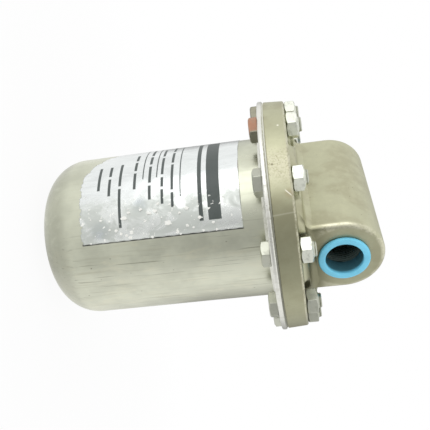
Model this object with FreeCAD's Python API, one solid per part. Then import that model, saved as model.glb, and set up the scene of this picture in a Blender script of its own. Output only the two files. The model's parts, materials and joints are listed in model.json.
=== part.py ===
import FreeCAD, Part
import math
import os
from FreeCAD import Vector

# Inverted bucket steam trap for 3/4 inch pipe. Millimetres, +Z up.
# The origin is on the pipe's axis, where the inlet's tapped wall begins.
# +X runs from the inlet to the outlet.

# Canister, drawn from stainless sheet
CAN_R = 50.8
CAN_WALL = 1.6
CAN_LENGTH = 148.2
DOME_KNUCKLE_R = 25.6
DOME_CROWN_RISE = 3.0

# Flat lip ring, welded round the canister's mouth
LIP_T = 3.0
LIP_EDGE_R = 0.9
LIP_FIT = 0.05
WELD_LEG = 2.4

# Gasket between the lip and the cap
GASKET_T = 0.8
GASKET_LAP = 0.8
GASKET_SET_BACK = 1.3

# Cap casting
CAP_SET_BACK = 0.7
CAP_DRAFT = 0.7
CAP_T = 12.7
CAP_EDGE_R = 1.3
CAP_LOWER_EDGE_R = 0.5
SPIGOT_H = 2.5
SPIGOT_PLAY = 0.8
PAD_FROM_NUTS = 1.2
PAD_H = 4.0
PAD_EDGE_R = 1.1
ARCH_R = 24.1
ARCH_HALF_L = 48.2
ARCH_FROM_NUTS = 1.0
ARCH_EDGE_R = 3.4
ARCH_FOOT_R = 4.4
PORT_CLEAR = 1.3

# Tapped ports
THREAD_R = 13.4
THREAD_L = 16.0
LEAD_STEP = 0.5
LEAD_L = 10.0
PORT_CHAMFER = 0.8
PORT_CONE_L = 4.0
PASSAGE_R = 8.0
SEAT_PASSAGE_R = 4.0
DROP_R = 4.8
DROP_BACK = 2.4
SCREW_PLAY = 0.05

# Flange bolts and nuts, 3/8 inch
BOLT_COUNT = 10
BOLT_R = 4.76
BOLT_FROM_WALL = 13.6
BOLT_FROM_EDGE = 9.1
BOLT_PLAY = 0.44
BOLT_HEAD_T = 5.4
BOLT_AF = 14.3
BOLT_PROUD = 2.0
NUT_T = 7.0
HEX_FACE = 0.92
BOLT_TURNS = (10, 33, 56, 19, 42, 5, 28, 38, 0, 24)
NUT_TURNS = (13, 12, 50, 27, 3, 38, 21, 20, 28, 23)

# Valve seat, screwed into the cap's underside
SEAT_FROM_PIVOT = 11.0
SEAT_AF = 16.0
SEAT_TURN = 30.0
SEAT_HEX_T = 4.5
SEAT_NOSE_R = 3.8
SEAT_NOSE_H = 1.5
SEAT_SHANK_R = 6.0
SEAT_SHANK_L = 9.0
ORIFICE_R = 1.9
SEAT_BORE_R = 3.2
SEAT_LAND = 3.0

# Lever bracket, its screws and the fulcrum pin
BRACKET_T = 1.6
BRACKET_HALF_W = 18.0
BRACKET_FROM_TUBE = 2.0
BRACKET_L = 12.0
EAR_IN_Y = 6.0
EAR_R = 4.0
SCREW_R = 2.0
SCREW_L = 9.0
SCREW_HEAD_R = 3.6
SCREW_HEAD_T = 2.6
SCREW_Y = 13.0
PIN_R = 1.6
PIN_HEAD_R = 2.7
PIN_HEAD_T = 1.2
PIN_TAIL = 1.8
PIN_FIT = 0.05
RUN_FIT = 0.08
CLIP_T = 0.6
CLIP_R = 2.9
GROOVE_DEPTH = 0.4

# Lever and valve
PIVOT_FROM_BRACKET = 4.0
LEVER_T = 2.4
LEVER_HALF_W = 4.5
LEVER_NOSE_HALF_W = 3.0
LEVER_HUB_R = 3.2
LEVER_EYE_R = 2.9
LEVER_OPEN = 10.0
SIDE_PLAY = 0.4
VALVE_R = 3.2
VALVE_RISE = 2.4
VALVE_NECK_R = 1.5
SEAT_GAP = 0.3
WASHER_R = 3.2
WASHER_T = 0.8
VALVE_RIVET_R = 2.3
VALVE_RIVET_T = 1.1

# Bucket, its weight band and its hanger
BUCKET_FROM_WALL = 7.0
BUCKET_FROM_TUBE = 4.0
BUCKET_FROM_TAIL = 7.0
BUCKET_WALL = 0.9
BUCKET_SHOULDER_R = 7.0
VENT_R = 1.2
VENT_FROM_SIDE = 13.0
WEIGHT_T = 1.6
WEIGHT_H = 12.0
HANGER_H = 7.5
HANGER_T = 1.3
HANGER_HALF_L = 4.4
HANGER_HALF_W = 13.0
HANGER_PIN_R = 1.5
RIVET_R = 1.2
RIVET_HEAD_R = 2.2
RIVET_HEAD_T = 0.9
RIVET_Y = 9.4

# Inlet tube
TUBE_FROM_WALL = 8.2
TUBE_R = 6.0
TUBE_WALL = 1.0
TUBE_SOCKET = 10.0
TUBE_BEND_R = 18.0
TUBE_END_RISE = 24.0
TUBE_TAIL = 7.0

# Thread protectors pushed into the ports
PROTECTOR_RIM = 1.2
PROTECTOR_FLANGE_T = 1.9
PROTECTOR_WALL = 2.4
PROTECTOR_EDGE_R = 0.8
PROTECTOR_SKIRT_L = 8.8
PROTECTOR_PLAY = 0.3
PROTECTOR_TAPER = 0.4

# Foil label on the canister, bare, on its film of glue
LABEL_T = 0.15
LABEL_GLUE_T = 0.05
LABEL_FROM = -151.0
LABEL_TO = -31.3
LABEL_FROM_DOME = 5.2
LABEL_FROM_LIP = 14.2

# Radii that follow from the sizes above. The bolt circle is as large as the wall and the arch's ends ask.
BOLT_CORNER_R = BOLT_AF / math.sqrt(3)
CIRCLE_ROUND_WALL = CAN_R + BOLT_FROM_WALL
CIRCLE_ROUND_ARCH = (ARCH_HALF_L + ARCH_FROM_NUTS + BOLT_CORNER_R) / math.cos(math.pi / BOLT_COUNT)
BOLT_CIRCLE_R = max(CIRCLE_ROUND_WALL, CIRCLE_ROUND_ARCH)
BOLT_HOLE_R = BOLT_R + BOLT_PLAY
LIP_R = BOLT_CIRCLE_R + BOLT_FROM_EDGE
CAP_R = LIP_R - CAP_SET_BACK
CAP_TOP_R = CAP_R - CAP_DRAFT
PAD_R = BOLT_CIRCLE_R - BOLT_CORNER_R - PAD_FROM_NUTS
LEAD_R = THREAD_R + LEAD_STEP
PROTECTOR_FLANGE_R = LEAD_R + PROTECTOR_RIM
PROTECTOR_SKIRT_R = LEAD_R - PROTECTOR_PLAY
PROTECTOR_IN_R = PROTECTOR_SKIRT_R - PROTECTOR_WALL
CAN_IN_R = CAN_R - CAN_WALL

# Heights and places that follow
AXIS_X = ARCH_HALF_L - LEAD_L
OUTLET_X = 2 * AXIS_X
Z_DECK = -PROTECTOR_FLANGE_R - PORT_CLEAR - ARCH_FOOT_R - PAD_H
Z_PAD = Z_DECK + PAD_H
Z_SEAL = Z_DECK - CAP_T
Z_FACE = Z_SEAL - SPIGOT_H
Z_LIP_TOP = Z_SEAL - GASKET_T
Z_LIP_UNDER = Z_LIP_TOP - LIP_T
Z_DOME = Z_LIP_TOP - CAN_LENGTH
Z_KNUCKLE = Z_DOME + DOME_KNUCKLE_R + DOME_CROWN_RISE
TUBE_X = -(CAN_IN_R - TUBE_FROM_WALL - TUBE_R)
BRACKET_X = TUBE_X + TUBE_R + BRACKET_FROM_TUBE + BRACKET_L / 2
PIVOT_X = BRACKET_X + PIVOT_FROM_BRACKET
SEAT_X = PIVOT_X + SEAT_FROM_PIVOT
BUCKET_LOW_X = TUBE_X + TUBE_R + BUCKET_FROM_TUBE
BUCKET_HIGH_X = CAN_IN_R - BUCKET_FROM_WALL
BUCKET_R = (BUCKET_HIGH_X - BUCKET_LOW_X) / 2 - WEIGHT_T
VENT_OFFSET = BUCKET_R - VENT_FROM_SIDE
HOOK_X = (BUCKET_HIGH_X + BUCKET_LOW_X) / 2
Z_NOSE = Z_FACE - SEAT_HEX_T - SEAT_NOSE_H
VALVE_DROP = math.sqrt(VALVE_R ** 2 - ORIFICE_R ** 2)
PIVOT_Z = Z_NOSE - VALVE_DROP - SEAT_GAP - VALVE_RISE - LEVER_T / 2
TILT = math.radians(LEVER_OPEN)
LEVER_ARM = (HOOK_X - PIVOT_X) / math.cos(TILT)
HOOK_Z = PIVOT_Z - LEVER_ARM * math.sin(TILT)
Z_BUCKET_TOP = HOOK_Z - HANGER_H
Z_TAIL = Z_DOME + TUBE_END_RISE
Z_BUCKET_RIM = Z_TAIL + TUBE_R + BUCKET_FROM_TAIL
LEVER_HUB_Y = EAR_IN_Y - SIDE_PLAY
HANGER_IN_Y = LEVER_NOSE_HALF_W + SIDE_PLAY
THREAD_END_X = AXIS_X - THREAD_L
DROP_FROM_X = -THREAD_END_X + PORT_CONE_L - DROP_BACK

UP = Vector(0, 0, 1)
ACROSS = Vector(0, 1, 0)
ALONG = Vector(1, 0, 0)


def at(x, y, z):
    """A point given from the canister's axis, with z from the pipe's axis."""
    return Vector(AXIS_X + x, y, z)


def rod(radius, length, base, direction=UP):
    return Part.makeCylinder(radius, length, base, direction)


class Outline:
    """A closed outline drawn edge by edge, in a plane given by its two axes."""

    def __init__(self, origin, u_axis, v_axis, u, v):
        self.origin = origin
        self.u_axis = u_axis
        self.v_axis = v_axis
        self.first = (u, v)
        self.here = (u, v)
        self.edges = []

    def point(self, uv):
        return self.origin + self.u_axis * uv[0] + self.v_axis * uv[1]

    def line(self, u, v):
        if math.dist(self.here, (u, v)) > 1e-6:
            self.edges.append(Part.LineSegment(self.point(self.here), self.point((u, v))).toShape())
        self.here = (u, v)
        return self

    def arc(self, centre, end):
        """The shorter arc about centre, from here to end."""
        radius = math.dist(self.here, centre)
        mid_u = self.here[0] + end[0] - 2 * centre[0]
        mid_v = self.here[1] + end[1] - 2 * centre[1]
        reach = radius / math.hypot(mid_u, mid_v)
        middle = (centre[0] + mid_u * reach, centre[1] + mid_v * reach)
        arc = Part.Arc(self.point(self.here), self.point(middle), self.point(end))
        self.edges.append(arc.toShape())
        self.here = end
        return self

    def face(self):
        self.line(*self.first)
        return Part.Face(Part.Wire(self.edges))


def turned(x, u, v):
    """An outline in the half plane beside the upright axis at x, for revolving about it."""
    return Outline(at(x, 0, 0), ALONG, UP, u, v)


def revolve_upright(outline, x):
    return outline.face().revolve(at(x, 0, 0), UP, 360)


def hexagon(across_flats, base, height, turn=0.0):
    corner_r = across_flats / math.sqrt(3)
    corners = []
    for i in range(7):
        angle = math.radians(turn + 60 * i)
        corners.append(base + Vector(corner_r * math.cos(angle), corner_r * math.sin(angle), 0))
    return Part.Face(Part.makePolygon(corners)).extrude(UP * height)


def chamfered_hexagon(across_flats, base, height, turn, bottom, top):
    """A hexagon with its corners turned off at 30 degrees at the ends that are named."""
    flat_r = HEX_FACE * across_flats / 2
    corner_r = across_flats / math.sqrt(3) + 0.1
    drop = (corner_r - flat_r) * math.tan(math.radians(30))
    low = drop if bottom else 0.0
    high = height - (drop if top else 0.0)
    low_r = flat_r if bottom else corner_r
    high_r = flat_r if top else corner_r
    limit = Outline(base, ALONG, UP, 0, 0)
    limit.line(low_r, 0).line(corner_r, low).line(corner_r, high).line(high_r, height).line(0, height)
    blank = hexagon(across_flats, base, height, turn)
    return blank.common(limit.face().revolve(base, UP, 360))


def bolt_places():
    """The bolts straddle the pipe's axis."""
    pitch = 360.0 / BOLT_COUNT
    for i in range(BOLT_COUNT):
        angle = math.radians(pitch * (i + 0.5))
        yield i, at(BOLT_CIRCLE_R * math.cos(angle), BOLT_CIRCLE_R * math.sin(angle), 0)


def turn_of(turns, i):
    """How far the i-th hexagon is turned, going round the list again if there are more bolts."""
    return turns[i % len(turns)]


def drill_bolt_holes(shape, low, high):
    for _, place in bolt_places():
        shape = shape.cut(rod(BOLT_HOLE_R, high - low, place + UP * low))
    return shape


def dome_crown_radius():
    """The radius that makes the dome's crown run smoothly into its knuckle."""
    knuckle_u = CAN_R - DOME_KNUCKLE_R
    depth = DOME_KNUCKLE_R + DOME_CROWN_RISE
    square = depth ** 2 - DOME_KNUCKLE_R ** 2 + knuckle_u ** 2
    return square / (2 * DOME_CROWN_RISE)


def make_canister():
    crown_r = dome_crown_radius()
    knuckle = (CAN_R - DOME_KNUCKLE_R, Z_KNUCKLE)
    crown = (0.0, Z_DOME + crown_r)
    reach = math.dist(knuckle, crown)
    lean = ((knuckle[0] - crown[0]) / reach, (knuckle[1] - crown[1]) / reach)

    def joint(radius):
        return (crown[0] + lean[0] * radius, crown[1] + lean[1] * radius)

    wall = turned(0, 0, Z_DOME)
    wall.arc(crown, joint(crown_r)).arc(knuckle, (CAN_R, knuckle[1])).line(CAN_R, Z_LIP_TOP)
    wall.line(CAN_IN_R, Z_LIP_TOP).line(CAN_IN_R, knuckle[1])
    wall.arc(knuckle, joint(crown_r - CAN_WALL)).arc(crown, (0, Z_DOME + CAN_WALL))
    return revolve_upright(wall, 0)


def make_lip_ring():
    """A flat ring with rounded edges, and its fillet weld against the canister's wall."""
    bore_r = CAN_R + LIP_FIT
    ring = turned(0, bore_r, Z_LIP_TOP)
    ring.line(bore_r, Z_LIP_UNDER - WELD_LEG).line(bore_r + WELD_LEG, Z_LIP_UNDER)
    ring.line(LIP_R - LIP_EDGE_R, Z_LIP_UNDER)
    ring.arc((LIP_R - LIP_EDGE_R, Z_LIP_UNDER + LIP_EDGE_R), (LIP_R, Z_LIP_UNDER + LIP_EDGE_R))
    ring.line(LIP_R, Z_LIP_TOP - LIP_EDGE_R)
    ring.arc((LIP_R - LIP_EDGE_R, Z_LIP_TOP - LIP_EDGE_R), (LIP_R - LIP_EDGE_R, Z_LIP_TOP))
    return drill_bolt_holes(revolve_upright(ring, 0), Z_LIP_UNDER - 1, Z_LIP_TOP + 1)


def make_gasket():
    ring = rod(LIP_R - GASKET_SET_BACK, GASKET_T, at(0, 0, Z_LIP_TOP))
    ring = ring.cut(rod(CAN_R - GASKET_LAP, GASKET_T, at(0, 0, Z_LIP_TOP)))
    return drill_bolt_holes(ring, Z_LIP_TOP - 1, Z_SEAL + 1)


def cap_disc():
    """The cap's flange with the spigot below it and the raised pad above it."""
    spigot_r = CAN_IN_R - SPIGOT_PLAY
    disc = turned(0, 0, Z_FACE)
    disc.line(spigot_r, Z_FACE).line(spigot_r, Z_SEAL).line(CAP_R - CAP_LOWER_EDGE_R, Z_SEAL)
    disc.arc((CAP_R - CAP_LOWER_EDGE_R, Z_SEAL + CAP_LOWER_EDGE_R), (CAP_R, Z_SEAL + CAP_LOWER_EDGE_R))
    disc.line(CAP_TOP_R, Z_DECK - CAP_EDGE_R)
    disc.arc((CAP_TOP_R - CAP_EDGE_R, Z_DECK - CAP_EDGE_R), (CAP_TOP_R - CAP_EDGE_R, Z_DECK))
    disc.line(PAD_R, Z_DECK).line(PAD_R, Z_PAD - PAD_EDGE_R)
    disc.arc((PAD_R - PAD_EDGE_R, Z_PAD - PAD_EDGE_R), (PAD_R - PAD_EDGE_R, Z_PAD))
    disc.line(0, Z_PAD)
    return revolve_upright(disc, 0)


def arch_body():
    """The arched block that holds both ports, with its end outlines rounded over."""
    sunk = Z_PAD - PAD_H / 2
    end = Outline(at(-ARCH_HALF_L, 0, 0), ACROSS, UP, -ARCH_R, sunk)
    end.line(-ARCH_R, 0).arc((0, 0), (0, ARCH_R)).arc((0, 0), (ARCH_R, 0)).line(ARCH_R, sunk)
    block = end.face().extrude(ALONG * 2 * ARCH_HALF_L)
    rims = []
    for edge in block.Edges:
        box = edge.BoundBox
        if box.XLength < 1e-3 and box.ZMax > sunk + 1e-3:
            rims.append(edge)
    return block.makeFillet(ARCH_EDGE_R, rims)


def rounded_rectangle(half_x, half_y, corner_r, z):
    line = Outline(at(0, 0, z), ALONG, ACROSS, -half_x + corner_r, -half_y)
    line.line(half_x - corner_r, -half_y)
    line.arc((half_x - corner_r, -half_y + corner_r), (half_x, -half_y + corner_r))
    line.line(half_x, half_y - corner_r)
    line.arc((half_x - corner_r, half_y - corner_r), (half_x - corner_r, half_y))
    line.line(-half_x + corner_r, half_y)
    line.arc((-half_x + corner_r, half_y - corner_r), (-half_x, half_y - corner_r))
    line.line(-half_x, -half_y + corner_r)
    line.arc((-half_x + corner_r, -half_y + corner_r), line.first)
    return line


def arch_foot():
    """The hollow fillet round the arch's foot, kept on the pad's flat top."""
    half_x = ARCH_HALF_L + ARCH_FOOT_R
    half_y = ARCH_R + ARCH_FOOT_R
    corner_r = ARCH_EDGE_R + ARCH_FOOT_R
    skirt = rounded_rectangle(half_x, half_y, corner_r, Z_PAD).face().extrude(UP * ARCH_FOOT_R)
    path = Part.Wire(rounded_rectangle(half_x, half_y, corner_r, Z_PAD + ARCH_FOOT_R).edges)
    start = at(-half_x + corner_r, -half_y, Z_PAD + ARCH_FOOT_R)
    ring = Part.Wire(Part.Circle(start, ALONG, ARCH_FOOT_R).toShape())
    groove = path.makePipeShell([ring], True, False)
    top_of_pad = rod(PAD_R - PAD_EDGE_R, ARCH_FOOT_R, at(0, 0, Z_PAD))
    return skirt.cut(groove).common(top_of_pad)


def port_cuts(side):
    """Lead-in, tapped wall and cone of one port; side is -1 at the inlet and 1 at the outlet."""
    way = ALONG * side
    face = at(side * ARCH_HALF_L, 0, 0)
    cuts = [rod(LEAD_R, LEAD_L, face, way * -1)]
    cuts.append(rod(THREAD_R, LEAD_L + THREAD_L, face, way * -1))
    mouth = Part.makeCone(LEAD_R + PORT_CHAMFER, LEAD_R, PORT_CHAMFER, face, way * -1)
    cone = Part.makeCone(THREAD_R, PASSAGE_R, PORT_CONE_L, at(side * THREAD_END_X, 0, 0), way * -1)
    return cuts + [mouth, cone]


def make_cap():
    body = cap_disc().fuse([arch_body(), arch_foot()])
    cuts = port_cuts(-1) + port_cuts(1)
    # inlet: a slanting drop from the port to the tube's socket
    drop_from = at(DROP_FROM_X, 0, 0)
    socket_top = at(TUBE_X, 0, Z_FACE + TUBE_SOCKET)
    drop = socket_top - drop_from
    cuts.append(rod(DROP_R, drop.Length, drop_from, drop))
    cuts.append(Part.makeSphere(DROP_R, socket_top))
    cuts.append(rod(TUBE_R + SCREW_PLAY, TUBE_SOCKET, at(TUBE_X, 0, Z_FACE)))
    # outlet: up from the seat, then along to the port
    passage_l = THREAD_END_X - SEAT_X
    cuts.append(rod(PASSAGE_R, passage_l, at(SEAT_X, 0, 0), ALONG))
    cuts.append(rod(SEAT_PASSAGE_R, -Z_FACE, at(SEAT_X, 0, Z_FACE)))
    cuts.append(rod(SEAT_SHANK_R + SCREW_PLAY, SEAT_SHANK_L, at(SEAT_X, 0, Z_FACE)))
    for y in (-SCREW_Y, SCREW_Y):
        cuts.append(rod(SCREW_R + SCREW_PLAY, SCREW_L, at(BRACKET_X, y, Z_FACE)))
    for _, place in bolt_places():
        cuts.append(rod(BOLT_HOLE_R, CAP_T + 2, place + UP * (Z_SEAL - 1)))
    return body.cut(cuts).removeSplitter()


def make_flange_bolts():
    bolts = []
    shank_l = LIP_T + GASKET_T + CAP_T + NUT_T + BOLT_PROUD
    tip = 0.8
    for i, place in bolt_places():
        under = place + UP * Z_LIP_UNDER
        turn = turn_of(BOLT_TURNS, i)
        head = chamfered_hexagon(BOLT_AF, under - UP * BOLT_HEAD_T, BOLT_HEAD_T, turn, True, False)
        shank = rod(BOLT_R, shank_l - tip, under)
        point = Part.makeCone(BOLT_R, BOLT_R - tip, tip, under + UP * (shank_l - tip))
        bolts.append(head.fuse([shank, point]).removeSplitter())
    return Part.makeCompound(bolts)


def make_flange_nuts():
    nuts = []
    for i, place in bolt_places():
        base = place + UP * Z_DECK
        nut = chamfered_hexagon(BOLT_AF, base, NUT_T, turn_of(NUT_TURNS, i), True, True)
        nuts.append(nut.cut(rod(BOLT_R + SCREW_PLAY, NUT_T, base)))
    return Part.makeCompound(nuts)


def make_valve_seat():
    hexagon_low = at(SEAT_X, 0, Z_FACE - SEAT_HEX_T)
    seat = chamfered_hexagon(SEAT_AF, hexagon_low, SEAT_HEX_T, SEAT_TURN, True, False)
    shank = rod(SEAT_SHANK_R, SEAT_SHANK_L, at(SEAT_X, 0, Z_FACE))
    nose = Part.makeCone(SEAT_NOSE_R - SEAT_NOSE_H / 2, SEAT_NOSE_R, SEAT_NOSE_H, at(SEAT_X, 0, Z_NOSE))
    whole = SEAT_NOSE_H + SEAT_HEX_T + SEAT_SHANK_L
    orifice = rod(ORIFICE_R, whole, at(SEAT_X, 0, Z_NOSE))
    bore = rod(SEAT_BORE_R, whole, at(SEAT_X, 0, Z_NOSE + SEAT_LAND))
    return seat.fuse([shank, nose]).cut([orifice, bore]).removeSplitter()


def pin_with_head(radius, reach, x, z):
    """A pin across the ears with a head on one side and a clip groove on the other."""
    head = rod(PIN_HEAD_R, PIN_HEAD_T, at(x, -reach - PIN_HEAD_T, z), ACROSS)
    shank = rod(radius, 2 * reach + PIN_TAIL, at(x, -reach, z), ACROSS)
    groove = rod(PIN_HEAD_R, CLIP_T, at(x, reach, z), ACROSS)
    groove = groove.cut(rod(radius - GROOVE_DEPTH, CLIP_T, at(x, reach, z), ACROSS))
    return head.fuse(shank).cut(groove)


def pin_clip(radius, reach, x, z):
    """An open ring that snaps into the pin's groove."""
    ring = rod(CLIP_R, CLIP_T, at(x, reach, z), ACROSS)
    core = rod(radius - GROOVE_DEPTH, CLIP_T, at(x, reach, z), ACROSS)
    mouth_w = 2 * (radius - GROOVE_DEPTH)
    mouth = Part.makeBox(mouth_w, CLIP_T, CLIP_R, at(x - mouth_w / 2, reach, z - CLIP_R))
    return ring.cut([core, mouth])


def make_lever_bracket():
    plate_z = Z_FACE - BRACKET_T
    low_x = BRACKET_X - BRACKET_L / 2
    plate = Part.makeBox(BRACKET_L, 2 * BRACKET_HALF_W, BRACKET_T, at(low_x, -BRACKET_HALF_W, plate_z))
    ears = []
    lean_x = PIVOT_X + EAR_R
    for side in (-1, 1):
        inner = EAR_IN_Y if side > 0 else -EAR_IN_Y - BRACKET_T
        ear = Outline(at(0, inner, 0), ALONG, UP, low_x + 1, Z_FACE)
        ear.line(PIVOT_X - EAR_R, PIVOT_Z)
        ear.arc((PIVOT_X, PIVOT_Z), (PIVOT_X, PIVOT_Z - EAR_R)).arc((PIVOT_X, PIVOT_Z), (lean_x, PIVOT_Z))
        ear.line(lean_x, PIVOT_Z + EAR_R).line(low_x + BRACKET_L, plate_z - BRACKET_T)
        ear.line(low_x + BRACKET_L, Z_FACE)
        ears.append(ear.face().extrude(ACROSS * BRACKET_T))
    cuts = [rod(PIN_R + PIN_FIT, 4 * EAR_IN_Y, at(PIVOT_X, -2 * EAR_IN_Y, PIVOT_Z), ACROSS)]
    for y in (-SCREW_Y, SCREW_Y):
        cuts.append(rod(SCREW_R + SCREW_PLAY, BRACKET_T, at(BRACKET_X, y, plate_z)))
    return plate.fuse(ears).cut(cuts).removeSplitter()


def make_bracket_screws():
    screws = []
    under = Z_FACE - BRACKET_T
    for y in (-SCREW_Y, SCREW_Y):
        shank = rod(SCREW_R, SCREW_L + BRACKET_T - 1, at(BRACKET_X, y, under))
        head = rod(SCREW_HEAD_R, SCREW_HEAD_T, at(BRACKET_X, y, under - SCREW_HEAD_T))
        slot = Part.makeBox(
            2 * SCREW_HEAD_R, SCREW_HEAD_T / 3, SCREW_HEAD_T / 2,
            at(BRACKET_X - SCREW_HEAD_R, y - SCREW_HEAD_T / 6, under - SCREW_HEAD_T),
        )
        screws.append(head.fuse(shank).cut(slot))
    return Part.makeCompound(screws)


def open_lever(shape):
    """Turns a piece from the closed place, where the lever is level, to its place at rest."""
    return shape.rotated(at(PIVOT_X, 0, PIVOT_Z), ACROSS, LEVER_OPEN)


def make_lever():
    eye_x = PIVOT_X + LEVER_ARM
    low_z = PIVOT_Z - LEVER_T / 2
    taper_x = SEAT_X + WASHER_R
    strap = Outline(at(0, 0, low_z), ALONG, ACROSS, PIVOT_X, -LEVER_HALF_W)
    strap.line(taper_x, -LEVER_HALF_W).line(eye_x - 2 * HANGER_HALF_L, -LEVER_NOSE_HALF_W)
    strap.line(eye_x, -LEVER_NOSE_HALF_W).line(eye_x, LEVER_NOSE_HALF_W)
    strap.line(eye_x - 2 * HANGER_HALF_L, LEVER_NOSE_HALF_W).line(taper_x, LEVER_HALF_W)
    strap.line(PIVOT_X, LEVER_HALF_W)
    bar = strap.face().extrude(UP * LEVER_T)
    hub = rod(LEVER_HUB_R, 2 * LEVER_HUB_Y, at(PIVOT_X, -LEVER_HUB_Y, PIVOT_Z), ACROSS)
    nose_w = 2 * LEVER_NOSE_HALF_W
    eye = rod(LEVER_EYE_R, nose_w, at(eye_x, -LEVER_NOSE_HALF_W, PIVOT_Z), ACROSS)
    cuts = [
        rod(PIN_R + RUN_FIT, 2 * LEVER_HUB_Y, at(PIVOT_X, -LEVER_HUB_Y, PIVOT_Z), ACROSS),
        rod(HANGER_PIN_R + RUN_FIT, nose_w, at(eye_x, -LEVER_NOSE_HALF_W, PIVOT_Z), ACROSS),
        rod(VALVE_NECK_R + PIN_FIT, LEVER_T, at(SEAT_X, 0, low_z)),
    ]
    return open_lever(bar.fuse([hub, eye]).cut(cuts).removeSplitter())


def make_valve():
    top_z = PIVOT_Z + LEVER_T / 2
    low_z = PIVOT_Z - LEVER_T / 2
    ball = Part.makeSphere(VALVE_R, at(SEAT_X, 0, top_z + VALVE_RISE))
    ball = ball.cut(rod(2 * VALVE_R, VALVE_R, at(SEAT_X, 0, top_z - VALVE_R)))
    neck = rod(VALVE_NECK_R, LEVER_T + WASHER_T, at(SEAT_X, 0, low_z - WASHER_T))
    head_z = low_z - WASHER_T - VALVE_RIVET_T
    head = Part.makeCone(VALVE_NECK_R, VALVE_RIVET_R, VALVE_RIVET_T, at(SEAT_X, 0, head_z))
    return open_lever(ball.fuse([neck, head]).removeSplitter())


def make_valve_washer():
    low = at(SEAT_X, 0, PIVOT_Z - LEVER_T / 2 - WASHER_T)
    return open_lever(rod(WASHER_R, WASHER_T, low).cut(rod(VALVE_NECK_R + PIN_FIT, WASHER_T, low)))


def make_bucket():
    shoulder_z = Z_BUCKET_TOP - BUCKET_SHOULDER_R
    shoulder_r = BUCKET_R - BUCKET_SHOULDER_R
    in_r = BUCKET_R - BUCKET_WALL
    shell = turned(HOOK_X, 0, Z_BUCKET_TOP)
    shell.line(shoulder_r, Z_BUCKET_TOP).arc((shoulder_r, shoulder_z), (BUCKET_R, shoulder_z))
    shell.line(BUCKET_R, Z_BUCKET_RIM).line(in_r, Z_BUCKET_RIM).line(in_r, shoulder_z)
    shell.arc((shoulder_r, shoulder_z), (shoulder_r, Z_BUCKET_TOP - BUCKET_WALL))
    shell.line(0, Z_BUCKET_TOP - BUCKET_WALL)
    under = Z_BUCKET_TOP - BUCKET_WALL
    holes = [rod(VENT_R, BUCKET_WALL, at(HOOK_X + VENT_OFFSET, 0, under))]
    for y in (-RIVET_Y, RIVET_Y):
        holes.append(rod(RIVET_R + PIN_FIT, BUCKET_WALL, at(HOOK_X, y, under)))
    return revolve_upright(shell, HOOK_X).cut(holes)


def make_bucket_weight():
    low = at(HOOK_X, 0, Z_BUCKET_RIM)
    return rod(BUCKET_R + WEIGHT_T, WEIGHT_H, low).cut(rod(BUCKET_R, WEIGHT_H, low))


def make_bucket_hanger():
    width = 2 * HANGER_HALF_W
    base = Part.makeBox(2 * HANGER_HALF_L, width, HANGER_T, at(HOOK_X - HANGER_HALF_L, -HANGER_HALF_W, Z_BUCKET_TOP))
    ears = []
    for inner in (HANGER_IN_Y, -HANGER_IN_Y - HANGER_T):
        ear = Outline(at(HOOK_X, inner, 0), ALONG, UP, -HANGER_HALF_L, Z_BUCKET_TOP)
        ear.line(-PIN_HEAD_R, HOOK_Z)
        ear.arc((0, HOOK_Z), (0, HOOK_Z + PIN_HEAD_R)).arc((0, HOOK_Z), (PIN_HEAD_R, HOOK_Z))
        ear.line(HANGER_HALF_L, Z_BUCKET_TOP)
        ears.append(ear.face().extrude(ACROSS * HANGER_T))
    cuts = [rod(HANGER_PIN_R + PIN_FIT, width, at(HOOK_X, -HANGER_HALF_W, HOOK_Z), ACROSS)]
    for y in (-RIVET_Y, RIVET_Y):
        cuts.append(rod(RIVET_R + PIN_FIT, HANGER_T, at(HOOK_X, y, Z_BUCKET_TOP)))
    return base.fuse(ears).cut(cuts).removeSplitter()


def make_hanger_rivets():
    rivets = []
    low = Z_BUCKET_TOP - BUCKET_WALL
    for y in (-RIVET_Y, RIVET_Y):
        shank = rod(RIVET_R, BUCKET_WALL + HANGER_T, at(HOOK_X, y, low))
        top_head = Part.makeCone(RIVET_HEAD_R, RIVET_R, RIVET_HEAD_T, at(HOOK_X, y, Z_BUCKET_TOP + HANGER_T))
        low_head = Part.makeCone(RIVET_R, RIVET_HEAD_R, RIVET_HEAD_T, at(HOOK_X, y, low - RIVET_HEAD_T))
        rivets.append(shank.fuse([top_head, low_head]).removeSplitter())
    return Part.makeCompound(rivets)


def tube_solid(radius):
    """A rod along the inlet tube's line: down, round under the bucket's rim, and on to its end."""
    top = at(TUBE_X, 0, Z_FACE + TUBE_SOCKET)
    bend_z = Z_TAIL + TUBE_BEND_R
    centre_x = TUBE_X + TUBE_BEND_R
    line = Outline(at(0, 0, 0), ALONG, UP, TUBE_X, top.z)
    line.line(TUBE_X, bend_z).arc((centre_x, bend_z), (centre_x, Z_TAIL)).line(centre_x + TUBE_TAIL, Z_TAIL)
    section = Part.Wire(Part.Circle(top, UP, radius).toShape())
    return Part.Wire(line.edges).makePipeShell([section], True, False)


def make_inlet_tube():
    return tube_solid(TUBE_R).cut(tube_solid(TUBE_R - TUBE_WALL))


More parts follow.
